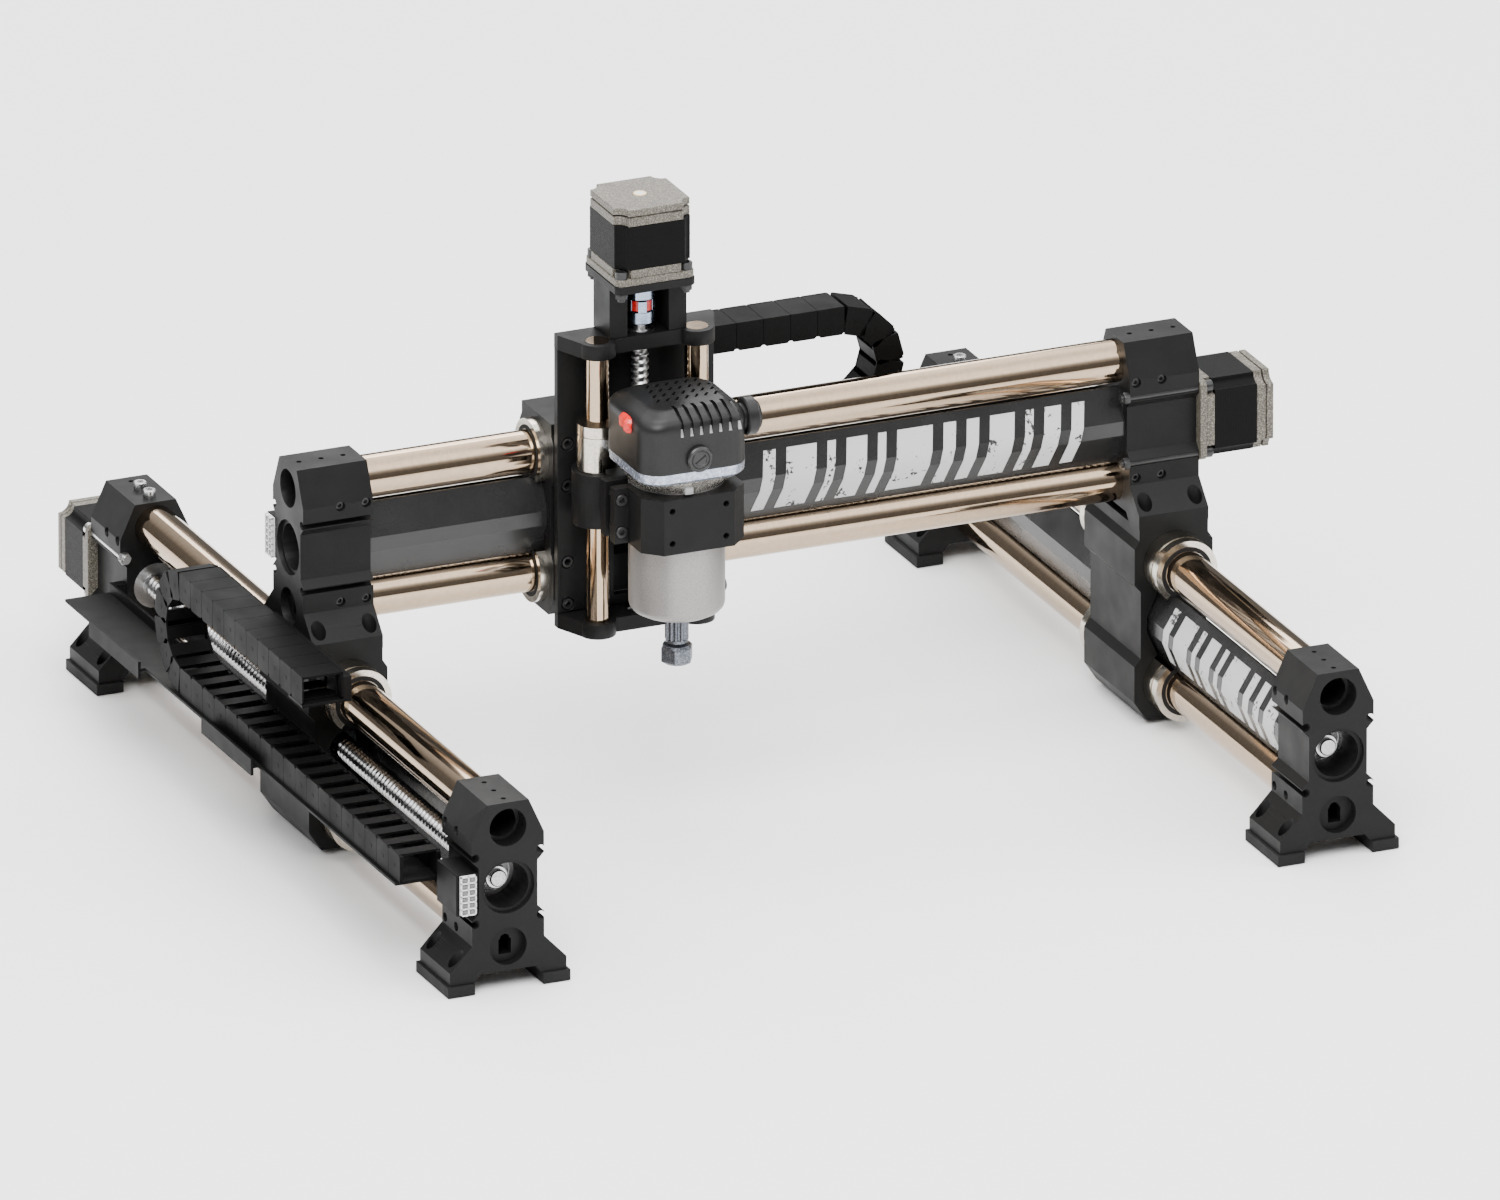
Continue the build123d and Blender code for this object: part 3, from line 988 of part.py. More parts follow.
def make_y_chain():
    lower = Y_CHAIN_LOWER_Z
    upper = lower + 2 * CHAIN_RADIUS
    half = CHAIN_WIDTH / 2
    under = lower - CHAIN_HEIGHT / 2
    save("y_chain_lower_run", Pos(Y_CHAIN_X, 0, lower) * chain_run(Y_CHAIN_FIXED_Y, Y_CHAIN_BEND_Y))
    save("y_chain_upper_run", Pos(Y_CHAIN_X, 0, upper) * chain_run(Y_CHAIN_MOVING_Y, Y_CHAIN_BEND_Y))
    save("y_chain_bend", Pos(Y_CHAIN_X, Y_CHAIN_BEND_Y, lower) * chain_bend())
    base = under - SHEET_THICK
    tray_x0 = Y_CHAIN_X - half - SHEET_THICK
    tray_x1 = Y_CHAIN_X + half + SHEET_THICK + TRAY_GAP
    tray_end = PLATE_INNER_Y + TRAY_TAB
    waist_x = LEFT_X - PLATE_WAIST_HALF
    tray = block(tray_x0, tray_x1, -tray_end, tray_end, base, under)
    tray += block(tray_x1 - SHEET_THICK, tray_x1, -tray_end, tray_end, under, under + TRAY_LIP)
    for end in (-1, 1):
        y0, y1 = sorted((end * (PLATE_INNER_Y + 1), end * tray_end))
        tray += block(tray_x1 - SHEET_THICK, waist_x, y0, y1, base, under + TRAY_LIP)
    clip_x = tray_x0 - CLIP_REACH
    for y in CLIP_Y:
        tray += block(clip_x, tray_x0 + 1, y, y + CLIP_LENGTH, base, under)
        tray += block(clip_x, clip_x + SHEET_THICK, y, y + CLIP_LENGTH,
                      under - CLIP_BELOW, under + CLIP_ABOVE)
    save("y_chain_tray", solid(tray))
    arm_x0 = Y_CHAIN_X + half
    plate_face = -GANTRY_OUTER_X
    arm_low = upper - CHAIN_HEIGHT / 2 - SHEET_THICK
    anchor_end = Y_CHAIN_MOVING_Y + CHAIN_ANCHOR_LENGTH
    arm = block(arm_x0, plate_face, Y_CHAIN_MOVING_Y, GANTRY_Y + Y_ARM_BEHIND,
                GANTRY_BASE_Z + Y_ARM_GAP, upper + Y_ARM_ABOVE)
    arm += block(arm_x0, plate_face, Y_CHAIN_MOVING_Y, anchor_end, arm_low, upper)
    arm += block(Y_CHAIN_X - half, plate_face, Y_CHAIN_MOVING_Y, anchor_end, arm_low, arm_low + SHEET_THICK)
    save("y_chain_arm", solid(arm))


def connector():
    """A cable connector in an end plate's side recess: its box, and the socket on the outer face."""
    width, length, height = CONNECTOR_BOX
    inner_x = -PLATE_WAIST_HALF
    low = -CONNECTOR_DROP - height / 2
    high = low + height
    box = block(inner_x - width, inner_x, CONNECTOR_INSET, length, low, high)
    box += rod(CONNECTOR_ROUND_R, low, high, "Z", x=inner_x - width + CONNECTOR_ROUND_R, y=length)
    socket_width, tall = CONNECTOR_SOCKET
    middle = inner_x - width / 2
    socket = block(middle - socket_width / 2, middle + socket_width / 2, -PAD_LIP, CONNECTOR_INSET,
                   -CONNECTOR_DROP - tall / 2, -CONNECTOR_DROP + tall / 2)
    return [solid(box), solid(socket)]


def make_connectors():
    at_foot = (LEFT_X, -PLATE_OUTER_Y, Y_SCREW_Z)
    save("y_connector", *[turned(piece, 0, at_foot) for piece in connector()])
    at_gantry = (-GANTRY_OUTER_X, GANTRY_Y, X_SCREW_Z)
    save("x_connector", *[turned(piece, -90, at_gantry) for piece in connector()])


def make_x_chain():
    lower = X_CHAIN_LOWER_Z
    upper = lower + 2 * CHAIN_RADIUS
    half = CHAIN_WIDTH / 2
    under = lower - CHAIN_HEIGHT / 2
    run = chain_run(-X_CHAIN_BEND_X, -X_CHAIN_FIXED_X)
    save("x_chain_lower_run", turned(run, 90, (0, X_CHAIN_Y, lower)))
    run = chain_run(-X_CHAIN_BEND_X, -X_CHAIN_MOVING_X)
    save("x_chain_upper_run", turned(run, 90, (0, X_CHAIN_Y, upper)))
    save("x_chain_bend", turned(chain_bend(), -90, (X_CHAIN_BEND_X, X_CHAIN_Y, lower)))
    base = under - SHEET_THICK
    shelf_y0 = X_CHAIN_Y - half - SHEET_THICK
    shelf_end = GANTRY_INNER_X + TRAY_TAB
    shelf = block(-shelf_end, shelf_end, shelf_y0, X_CHAIN_Y + half, base, under)
    shelf += block(-shelf_end, shelf_end, shelf_y0, shelf_y0 + SHEET_THICK, base, under + TRAY_LIP)
    waist_back = GANTRY_Y + PLATE_WAIST_HALF
    for side in (-1, 1):
        x0, x1 = sorted((side * (GANTRY_INNER_X + 1), side * shelf_end))
        shelf += block(x0, x1, waist_back, shelf_y0 + 1, base, under + TRAY_LIP)
    save("x_chain_shelf", solid(shelf))
    top_z = X_TUBE_ZS[1] + BLOCK_ABOVE
    arm_x1 = X_CHAIN_MOVING_X + CHAIN_ANCHOR_LENGTH
    arm_x0 = X_CHAIN_MOVING_X
    arm_floor = upper - CHAIN_HEIGHT / 2
    face = GANTRY_Y + BLOCK_TOP_HALF
    arm = block(arm_x0, arm_x1, face, face + X_ARM_THICK, top_z - X_ARM_SEAT, arm_floor)
    arm += block(arm_x0, arm_x1, face, X_CHAIN_Y + half, arm_floor - SHEET_THICK, arm_floor)
    save("x_chain_arm", solid(arm))


def main():
    os.makedirs("parts", exist_ok=True)
    make_feet()
    make_y_axes()
    make_gantry()
    make_x_axis()
    plate_screws = make_z_frame()
    motor_screws = make_z_motor()
    save("carriage_fasteners", *plate_screws, *motor_screws, lift=Z_LEVEL)
    make_z_screw()
    make_z_slide()
    make_router_clamp()
    make_router()
    make_spindle()
    make_buttons()
    make_y_chain()
    make_connectors()
    make_x_chain()


main()
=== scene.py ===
from math import cos, pi, prod, radians, sin, sqrt

import bmesh
import bpy
from mathutils import Matrix, Vector


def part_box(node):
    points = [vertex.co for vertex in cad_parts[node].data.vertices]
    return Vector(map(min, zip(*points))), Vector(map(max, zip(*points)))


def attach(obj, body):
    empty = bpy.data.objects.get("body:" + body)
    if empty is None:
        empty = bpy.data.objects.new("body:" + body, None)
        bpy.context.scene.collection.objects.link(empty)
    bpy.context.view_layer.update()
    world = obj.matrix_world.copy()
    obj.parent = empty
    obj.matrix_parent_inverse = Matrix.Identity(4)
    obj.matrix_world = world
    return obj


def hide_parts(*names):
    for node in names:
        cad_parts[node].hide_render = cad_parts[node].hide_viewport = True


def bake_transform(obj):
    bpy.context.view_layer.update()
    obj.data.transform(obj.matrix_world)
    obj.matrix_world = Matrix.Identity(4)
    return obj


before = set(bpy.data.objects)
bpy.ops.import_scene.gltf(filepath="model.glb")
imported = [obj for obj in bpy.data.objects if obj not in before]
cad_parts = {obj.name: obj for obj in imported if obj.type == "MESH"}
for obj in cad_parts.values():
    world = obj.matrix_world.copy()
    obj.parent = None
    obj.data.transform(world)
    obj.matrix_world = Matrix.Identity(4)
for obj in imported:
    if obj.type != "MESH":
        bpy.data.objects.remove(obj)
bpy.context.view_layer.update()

# A bench-top CNC router. The CAD pieces keep their shapes and get their finishes and softened edges;
# screws, motors, cable chains, connectors, fasteners and the trim router are modelled here in detail.
# Local sizes are in millimetres, and every place comes from the frame, in metres.
MM = 0.001
SWAP_YZ = Matrix(((1, 0, 0, 0), (0, 0, 1, 0), (0, 1, 0, 0), (0, 0, 0, 1)))
METRES = Matrix.Identity(4)
SMOOTH_ANGLE = radians(32)


# ---- frame places
def span(node):
    """A node's box as its low corner, high corner and centre, in metres."""
    low, high = (Vector(corner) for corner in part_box(node))
    return low, high, (low + high) / 2


def corners(points):
    """The low and the high corner of the box round some points."""
    low = Vector([min(point[axis] for point in points) for axis in range(3)])
    high = Vector([max(point[axis] for point in points) for axis in range(3)])
    return low, high


def islands(node):
    """The separate solids of a CAD node, each as the list of its corner points."""
    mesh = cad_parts[node].data
    parent = {}

    def root(key):
        while parent[key] != key:
            parent[key] = parent[parent[key]]
            key = parent[key]
        return key

    keys = []
    for vertex in mesh.vertices:
        key = tuple(round(value, 6) for value in vertex.co)
        keys.append(key)
        parent.setdefault(key, key)
    for polygon in mesh.polygons:
        first = root(keys[polygon.vertices[0]])
        for index in polygon.vertices[1:]:
            parent[root(keys[index])] = first
    groups = {}
    for key in parent:
        groups.setdefault(root(key), []).append(Vector(key))
    return list(groups.values())


def placed(origin, axis="Z", turn=0.0):
    """A matrix that takes local millimetres, with +Z along the axis, to metres at the origin."""
    turns = {
        "Z": Matrix.Identity(4),
        "-Z": Matrix.Rotation(pi, 4, "X"),
        "Y": Matrix.Rotation(-pi / 2, 4, "X"),
        "-Y": Matrix.Rotation(pi / 2, 4, "X"),
        "X": Matrix.Rotation(pi / 2, 4, "Y"),
        "-X": Matrix.Rotation(-pi / 2, 4, "Y"),
    }
    return Matrix.Translation(origin) @ turns[axis] @ Matrix.Rotation(turn, 4, "Z") @ Matrix.Scale(MM, 4)


# ---- mesh building
class Shape:
    """A mesh under construction, in local millimetres, made of simple closed bodies."""

    def __init__(self, matrix=None):
        self.bm = bmesh.new()
        self.matrix = matrix or Matrix.Scale(MM, 4)

    def point(self, x, y, z, local=None):
        place = Vector((x, y, z))
        if local is not None:
            place = local @ place
        return self.bm.verts.new(self.matrix @ place)

    def lathe(self, profile, segments=48, local=None, closed=False):
        """Turn a profile of (radius, height) points about local Z."""
        rings = []
        for radius, height in profile:
            if radius < 1e-6:
                rings.append([self.point(0, 0, height, local)])
                continue
            ring = []
            for index in range(segments):
                angle = 2 * pi * index / segments
                ring.append(self.point(radius * cos(angle), radius * sin(angle), height, local))
            rings.append(ring)
        pairs = list(zip(rings, rings[1:]))
        if closed:
            pairs.append((rings[-1], rings[0]))
        for low, high in pairs:
            self.bridge(low, high)
        return self

    def bridge(self, low, high):
        count = max(len(low), len(high))
        for index in range(count):
            after = (index + 1) % count
            if len(low) == 1 and len(high) == 1:
                continue
            if len(low) == 1:
                self.bm.faces.new((low[0], high[after], high[index]))
            elif len(high) == 1:
                self.bm.faces.new((low[index], low[after], high[0]))
            else:
                self.bm.faces.new((low[index], low[after], high[after], high[index]))

    def prism(self, outline, low, high, local=None):
        """A closed outline of (x, y) points, from height low to height high."""
        return self.loft([(outline, low), (outline, high)], local)

    def loft(self, sections, local=None):
        """Join outlines with the same number of points, each at its own height, and cap the ends."""
        rings = [[self.point(x, y, height, local) for x, y in outline] for outline, height in sections]
        for low, high in zip(rings, rings[1:]):
            self.bridge(low, high)
        self.bm.faces.new(list(reversed(rings[0])))
        self.bm.faces.new(rings[-1])
        return self

    def box(self, low, high, local=None):
        (x0, y0, z0), (x1, y1, z1) = low, high
        return self.prism([(x0, y0), (x1, y0), (x1, y1), (x0, y1)], z0, z1, local)

    def cylinder(self, radius, low, high, segments):
        return self.lathe([(0, low), (radius, low), (radius, high), (0, high)], segments)

    def ring(self, outer, inner, low, high, edge, local):
        """A hollow cylinder with softened rims."""
        profile = [(inner, low + edge), (inner + edge, low), (outer - edge, low), (outer, low + edge),
                   (outer, high - edge), (outer - edge, high), (inner + edge, high),
                   (inner, high - edge)]
        return self.lathe(profile, 48, local, closed=True)

    def finish(self, name, paint, body, stands_for=None, slot=None, bevel=0.0):
        """Make the mesh an object that rides on a body, with its finish and its softened edges."""
        bmesh.ops.recalc_face_normals(self.bm, faces=self.bm.faces)
        mesh = bpy.data.meshes.new(name)
        self.bm.to_mesh(mesh)
        self.bm.free()
        mesh.shade_smooth()
        mesh.set_sharp_from_angle(angle=SMOOTH_ANGLE)
        piece = bpy.data.objects.new(name, mesh)
        bpy.context.scene.collection.objects.link(piece)
        mesh.materials.append(PAINTS[paint])
        if bevel:
            soften(piece, bevel)
        if body:
            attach(piece, body)
        if stands_for:
            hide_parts(stands_for)
        return piece


def soften(piece, width):
    """Round a piece's sharp edges slightly, as a machined or moulded edge is."""
    modifier = piece.modifiers.new("soft_edges", "BEVEL")
    modifier.width = width * MM
    modifier.segments = 2
    modifier.limit_method = "ANGLE"
    modifier.angle_limit = SMOOTH_ANGLE
    modifier.harden_normals = True


def rounded_square(half_x, half_y, corner, steps=6):
    """A rectangle with rounded corners, as (x, y) points."""
    points = []
    for quarter, (sx, sy) in enumerate(((1, 1), (-1, 1), (-1, -1), (1, -1))):
        for step in range(steps + 1):
            angle = (quarter + step / steps) * pi / 2
            points.append((sx * (half_x - corner) + corner * cos(angle),
                           sy * (half_y - corner) + corner * sin(angle)))
    return points


def notched_square(half, notch, steps=5):
    """A square whose corners are cut away by concave quarter rounds."""
    points = []
    for sx, sy in ((1, 1), (-1, 1), (-1, -1), (1, -1)):
        arc = []
        for step in range(steps + 1):
            angle = step / steps * pi / 2
            arc.append((sx * (half - notch * cos(angle)), sy * (half - notch * sin(angle))))
        if sx * sy > 0:
            arc.reverse()
        points += arc
    return points


RING_POINTS = 24           # of the rings that circles and hexagons share


def circle(radius, count=RING_POINTS):
    return [(radius * cos(2 * pi * index / count), radius * sin(2 * pi * index / count))
            for index in range(count)]


def hexagon_ring(radius):
    """A hexagon sampled at even angles, so that it joins a circle."""
    points = []
    for index in range(RING_POINTS):
        angle = 2 * pi * index / RING_POINTS
        reach = radius * cos(pi / 6) / cos((angle % (pi / 3)) - pi / 6)
        points.append((reach * cos(angle), reach * sin(angle)))
    return points


# ---- materials
def fill_ramp(ramp, stops):
    """Set a colour ramp's (position, colour) stops."""
    elements = ramp.color_ramp.elements
    while len(elements) < len(stops):
        elements.new(0.5)
    for element, (position, color) in zip(elements, stops):
        element.position = position
        element.color = (*shades(color), 1.0)


def shades(level):
    """A grey from its level, or a colour as it is."""
    return level if isinstance(level, tuple) else (level, level, level)


class Paint:
    """A node material under construction, built round one Principled shader."""

    def __init__(self, name, color, roughness, metallic=0.0, specular=0.5):
        self.material = bpy.data.materials.new(name)
        self.material.use_nodes = True
        self.tree = self.material.node_tree
        self.shader = self.tree.nodes["Principled BSDF"]
        self.set("Base Color", (*shades(color), 1.0))
        self.set("Roughness", roughness)
        self.set("Metallic", metallic)
        self.set("Specular IOR Level", specular)
        coordinates = self.tree.nodes.new("ShaderNodeTexCoord")
        self.place = coordinates.outputs["Object"]

    def set(self, socket, value):
        self.shader.inputs[socket].default_value = value

    def node(self, kind, **inputs):
        node = self.tree.nodes.new(kind)
        for name, value in inputs.items():
            node.inputs[name.replace("_", " ")].default_value = value
        return node

    def link(self, source, target):
        self.tree.links.new(source, target)

    def noise(self, scale, detail=3.0):
        """Noise over the object, in metres."""
        noise = self.node("ShaderNodeTexNoise", Scale=scale, Detail=detail)
        self.link(self.place, noise.inputs["Vector"])
        return noise.outputs["Fac"]

    def spread(self, factor, low, high, start=0.3, end=0.7):
        """Map a factor to a range of numbers."""
        node = self.node("ShaderNodeMapRange", From_Min=start, From_Max=end, To_Min=low, To_Max=high)
        self.link(factor, node.inputs["Value"])
        return node.outputs["Result"]

    def tint(self, factor, stops):
        """Colour the surface by a factor through a ramp of (position, colour) stops."""
        ramp = self.tree.nodes.new("ShaderNodeValToRGB")
        fill_ramp(ramp, stops)
        self.link(factor, ramp.inputs["Fac"])
        self.link(ramp.outputs["Color"], self.shader.inputs["Base Color"])

    def bump(self, height, strength, distance):
        node = self.node("ShaderNodeBump", Strength=strength, Distance=distance)
        self.link(height, node.inputs["Height"])
        self.link(node.outputs["Normal"], self.shader.inputs["Normal"])

    def rough(self, factor, low, high):
        self.link(self.spread(factor, low, high), self.shader.inputs["Roughness"])


BROAD_GRAIN = 38.0         # the scale of the slow change in gloss


def grained(name, dark, light, roughness, grain=2600, metallic=0.0, specular=0.5, depth=0.00002,
            strength=0.25):
    """A finish with a fine grain: two close colours, a varied gloss and a fine bump."""
    paint = Paint(name, light, roughness[0], metallic, specular)
    fine = paint.noise(grain, 2.0)
    broad = paint.noise(BROAD_GRAIN, 3.0)
    paint.tint(fine, [(0.35, dark), (0.65, light)])
    paint.rough(broad, *roughness)
    paint.bump(fine, strength, depth)
    return paint.material


def laminated(name, axis):
    """A stack of black steel laminations along one axis."""
    paint = Paint(name, 0.0015, 0.5, 0.0, 0.08)
    wave = paint.node("ShaderNodeTexWave", Scale=260)
    wave.wave_type = "BANDS"
    wave.bands_direction = axis
    paint.link(paint.place, wave.inputs["Vector"])
    grain = paint.noise(1900, 2.0)
    paint.tint(grain, [(0.3, 0.001), (0.75, 0.003)])
    paint.rough(grain, 0.38, 0.6)
    paint.bump(wave.outputs["Fac"], 0.5, 0.0001)
    return paint.material


def worn_print(name):
    """Off-white print that has chipped, so that the dark sheet shows through."""
    paint = Paint(name, 0.6, 0.55, 0.0, 0.3)
    chips = paint.noise(420, 6.0)
    broad = paint.noise(60, 4.0)
    mixed = paint.node("ShaderNodeMath")
    mixed.operation = "ADD"
    paint.link(chips, mixed.inputs[0])
    paint.link(broad, mixed.inputs[1])
    paint.tint(mixed.outputs[0], [(0.0, 0.03), (0.80, 0.03), (0.84, 0.5)])
    halved = paint.spread(mixed.outputs[0], 0.0, 1.0, 0.0, 1.0)
    paint.rough(halved, 0.62, 0.5)
    return paint.material


def speckled(name, dark, middle, light, metallic, roughness, scale):
    """A cast or blasted metal with bright and dark specks."""
    paint = Paint(name, middle, roughness[0], metallic, 0.5)
    specks = paint.noise(scale, 2.0)
    paint.tint(specks, [(0.3, dark), (0.5, middle), (0.7, light)])
    paint.rough(specks, *roughness)
    paint.bump(specks, 0.35, 0.00005)
    return paint.material


def make_materials():
    """Every finish by a plain name."""
    return {
        "anodised": grained("black_anodised", 0.0038, 0.0072, (0.42, 0.55), specular=0.15),
        "plastic": grained("black_moulded", 0.005, 0.009, (0.34, 0.46), 1500, specular=0.28,
                           depth=0.00003),
        "rubber": grained("black_rubber", 0.005, 0.009, (0.6, 0.75), 1800, specular=0.2),
        "sheet": grained("dark_sheet", 0.003, 0.006, (0.46, 0.58), 2000, specular=0.10),
        "chain": grained("chain_plastic", 0.002, 0.004, (0.5, 0.62), 1300, specular=0.08,
                         depth=0.00003),
        "cover": grained("cover_sheet", 0.008, 0.013, (0.2, 0.3), 2000, specular=0.45),
        "tube": grained("polished_tube", (0.42, 0.315, 0.22), (0.46, 0.345, 0.24), (0.07, 0.11), 300,
                        1.0, depth=0.0, strength=0.0),
        "steel": grained("turned_steel", (0.50, 0.46, 0.39), (0.62, 0.58, 0.51), (0.14, 0.24), 500,
                         1.0, depth=0.000004, strength=0.15),
        "thread": grained("screw_steel", 0.32, 0.48, (0.16, 0.28), 900, 1.0),
        "silver": grained("bright_steel", 0.5, 0.62, (0.22, 0.34), 1200, 1.0),
        "dark_steel": speckled("dark_steel", (0.06, 0.065, 0.075), (0.12, 0.13, 0.15),
                               (0.24, 0.25, 0.28), 0.9, (0.25, 0.45), 1300),
        "hub": grained("blue_steel", (0.20, 0.25, 0.34), (0.33, 0.38, 0.47), (0.16, 0.28), 900, 1.0),
        "black_screw": grained("black_oxide", 0.012, 0.02, (0.3, 0.42), 1500, 0.2),
        "motor_end": speckled("motor_casting", (0.04, 0.035, 0.027), (0.085, 0.076, 0.06),
                              (0.24, 0.22, 0.185), 0.2, (0.4, 0.55), 1000),
        "brass": grained("brass", (0.72, 0.50, 0.22), (0.85, 0.64, 0.34), (0.25, 0.4), 1200, 0.3),
        "white": grained("white_nylon", 0.62, 0.74, (0.4, 0.5), 1400, specular=0.4),
        "print": worn_print("worn_print"),
        "router": speckled("router_casting", (0.20, 0.192, 0.187), (0.26, 0.25, 0.243),
                           (0.32, 0.31, 0.30), 0.55, (0.34, 0.46), 1800),
        "band": speckled("skirt_band", (0.24, 0.27, 0.34), (0.36, 0.39, 0.47), (0.5, 0.54, 0.63),
                         0.6, (0.15, 0.3), 500),
        "cone": speckled("skirt_cone", (0.38, 0.36, 0.33), (0.56, 0.53, 0.48), (0.72, 0.69, 0.64),
                         0.8, (0.15, 0.3), 700),
        "red": grained("red_plastic", (0.55, 0.008, 0.006), (0.72, 0.015, 0.01), (0.22, 0.32), 1400),
        "terminal_and_cell_shade": grained("terminal_and_cell_shade_grey", 0.10, 0.16, (0.4, 0.5), 1400),
        "grey": grained("grey_plastic", 0.22, 0.32, (0.4, 0.5), 1400),
        "core_X": laminated("motor_core_x", "X"),
        "core_Y": laminated("motor_core_y", "Y"),
        "core_Z": laminated("motor_core_z", "Z"),
    }


PAINTS = make_materials()


def dress(node, paint, edge):
    """Give a CAD node its finish and, where it has one, a softened edge."""
    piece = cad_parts[node]
    piece.data.materials.clear()
    piece.data.materials.append(PAINTS[paint])
    if edge:
        weld = piece.modifiers.new("weld", "WELD")
        weld.merge_threshold = 0.01 * MM
        soften(piece, edge)


# ---- CAD pieces that keep their shape
def darken_bores(node, along):
    """Paint the bores and ends of a node's tubes near black: a dull finish, and painted shade inside the
    bores.
    """
    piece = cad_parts[node]
    piece.data.materials.append(PAINTS["black_screw"])
    boxes = [corners(points) for points in islands(node)]
    turn = piece.matrix_world.to_3x3()
    for face in piece.data.polygons:
        middle = piece.matrix_world @ face.center
        offsets = [middle - (low + high) / 2 for low, high in boxes]
        for offset in offsets:
            offset[along] = 0
        nearest = min(offsets, key=lambda offset: offset.length)
        if (turn @ face.normal).dot(nearest.normalized()) < 0.5:
            face.material_index = 1


# the finish and the edge of the CAD pieces that stay
DRESSES = (
    ("anodised", 0.5, ("feet", "left_end_plate", "right_end_plate", "y_left_block", "y_right_block",
                       "x_block", "z_back_plate", "z_top_plate", "z_bottom_plate", "z_motor_riser",
                       "z_slide_block", "router_clamp")),
    ("rubber", 0.5, ("foot_pads",)),
    ("tube", 0.0, ("y_tubes", "x_tubes", "z_rails")),
    ("steel", 0.0, ("y_bushings", "x_bushings", "z_bushings")),
    ("cover", 0.0, ("y_covers", "x_cover")),
    ("sheet", 0.3, ("y_chain_tray", "x_chain_shelf", "y_chain_arm", "x_chain_arm")),
    ("silver", 0.0, ("y_screw_bearings", "x_screw_bearings", "z_screw_bearings")),
    ("dark_steel", 0.0, ("y_ball_nuts", "x_ball_nut", "z_nut")),
)


def dress_cad_nodes():
    for paint, edge, nodes in DRESSES:
        for node in nodes:
            dress(node, paint, edge)
    darken_bores("y_tubes", 1)
    darken_bores("x_tubes", 0)


# ---- fasteners
NUT_LIMIT = 6.0            # a solid shorter than this is a nut
HEAD_SHARE = 0.9           # a point further out than this share of the radius is on the head


def socket_screw(shape, radius, head_height, shank_radius, length, local):
    """A socket cap screw: its head on +Z above 0, its shank below."""
    key = radius * 0.52
    rim = radius * 0.09
    depth = head_height * 0.55
    rings = [(circle(shank_radius), -length), (circle(shank_radius), 0), (circle(radius), 0),
             (circle(radius), head_height - rim), (circle(radius - rim), head_height),
             (hexagon_ring(key * 1.1), head_height), (hexagon_ring(key), head_height - rim),
             (hexagon_ring(key), head_height - depth)]
    shape.loft(rings, local)


def hex_nut(shape, radius, height, bore, local):
    """A hexagon nut from 0 to its height, with chamfered corners and its thread's bore."""
    chamfer = radius * 0.12
    rings = [(circle(bore), 0), (circle(radius * 0.88), 0), (hexagon_ring(radius), chamfer),
             (hexagon_ring(radius), height - chamfer), (circle(radius * 0.88), height),
             (circle(bore), height)]
    made = [[shape.point(x, y, z, local) for x, y in outline] for outline, z in rings]
    for low, high in zip(made, made[1:]):
        shape.bridge(low, high)
    shape.bridge(made[-1], made[0])


def odd_axis(size):
    """The axis along which a round solid's box differs most from its two other sides."""
    short, middle, long = sorted(range(3), key=lambda axis: size[axis])
    if size[middle] - size[short] > size[long] - size[middle]:
        return short, size[long]
    return long, size[middle]


def fastener_group(name, node, body, paint, slot):
    """Detailed screws and nuts in the places of a CAD node's separate solids."""
    shape = Shape(METRES)
    for points in islands(node):
        low, high = corners(points)
        centre = (low + high) / 2
        along, across = odd_axis(high - low)
        radius = across / 2 / MM
        length = (high - low)[along] / MM
        origin = centre.copy()
        if length < NUT_LIMIT:
            origin[along] = low[along]
            hex_nut(shape, radius, length, radius * 0.55, placed(origin, "XYZ"[along]))
            continue

        def reach(point):
            offset = point - centre
            offset[along] = 0
            return offset.length / MM

        near_low = [point for point in points if point[along] - low[along] < (high - low)[along] * 0.02]
        head_low = max(reach(point) for point in near_low) > radius * HEAD_SHARE
        under_head = [point[along] for point in points if reach(point) > radius * HEAD_SHARE]
        inner = max(under_head) if head_low else min(under_head)
        head_end, free_end = (low, high) if head_low else (high, low)
        head_height = abs(inner - head_end[along]) / MM
        shank = min(reach(point) for point in points if abs(point[along] - free_end[along]) < 1e-5)
        shank = shank if shank > 0.5 else radius * 0.6
        origin[along] = inner
        matrix = placed(origin, ("-" if head_low else "") + "XYZ"[along])
        socket_screw(shape, radius, head_height, shank, length - head_height, matrix)
    return shape.finish(name, paint, body, node, slot)


def make_fasteners():
    fastener_group("base_screws", "base_fasteners", "base", "silver", "steel_fastener")
    fastener_group("gantry_screws", "gantry_fasteners", "gantry", "black_screw", "steel_fastener")
    fastener_group("carriage_screws", "carriage_fasteners", "carriage", "black_screw", "black_fastener")
    fastener_group("ear_screws", "clamp_screws", "slide", "black_screw", "black_fastener")


# ---- screws
THREAD_SEGMENTS = 20
THREAD_STEPS = 8


def thread(shape, radius, depth, pitch, start, end):
    """A rounded thread along local Z, as one closed helical surface."""
    rows = int((end - start) / pitch * THREAD_STEPS)
    rings = []
    for row in range(rows + 1):
        height = start + (end - start) * row / rows
        outline = []
        for index in range(THREAD_SEGMENTS):
            angle = 2 * pi * index / THREAD_SEGMENTS
            phase = (height / pitch - index / THREAD_SEGMENTS) % 1.0
            groove = max(0.0, 1 - abs(phase - 0.5) / 0.34)
            reach = radius - depth * sqrt(groove)
            outline.append((reach * cos(angle), reach * sin(angle)))
        rings.append((outline, height))
    shape.loft(rings)


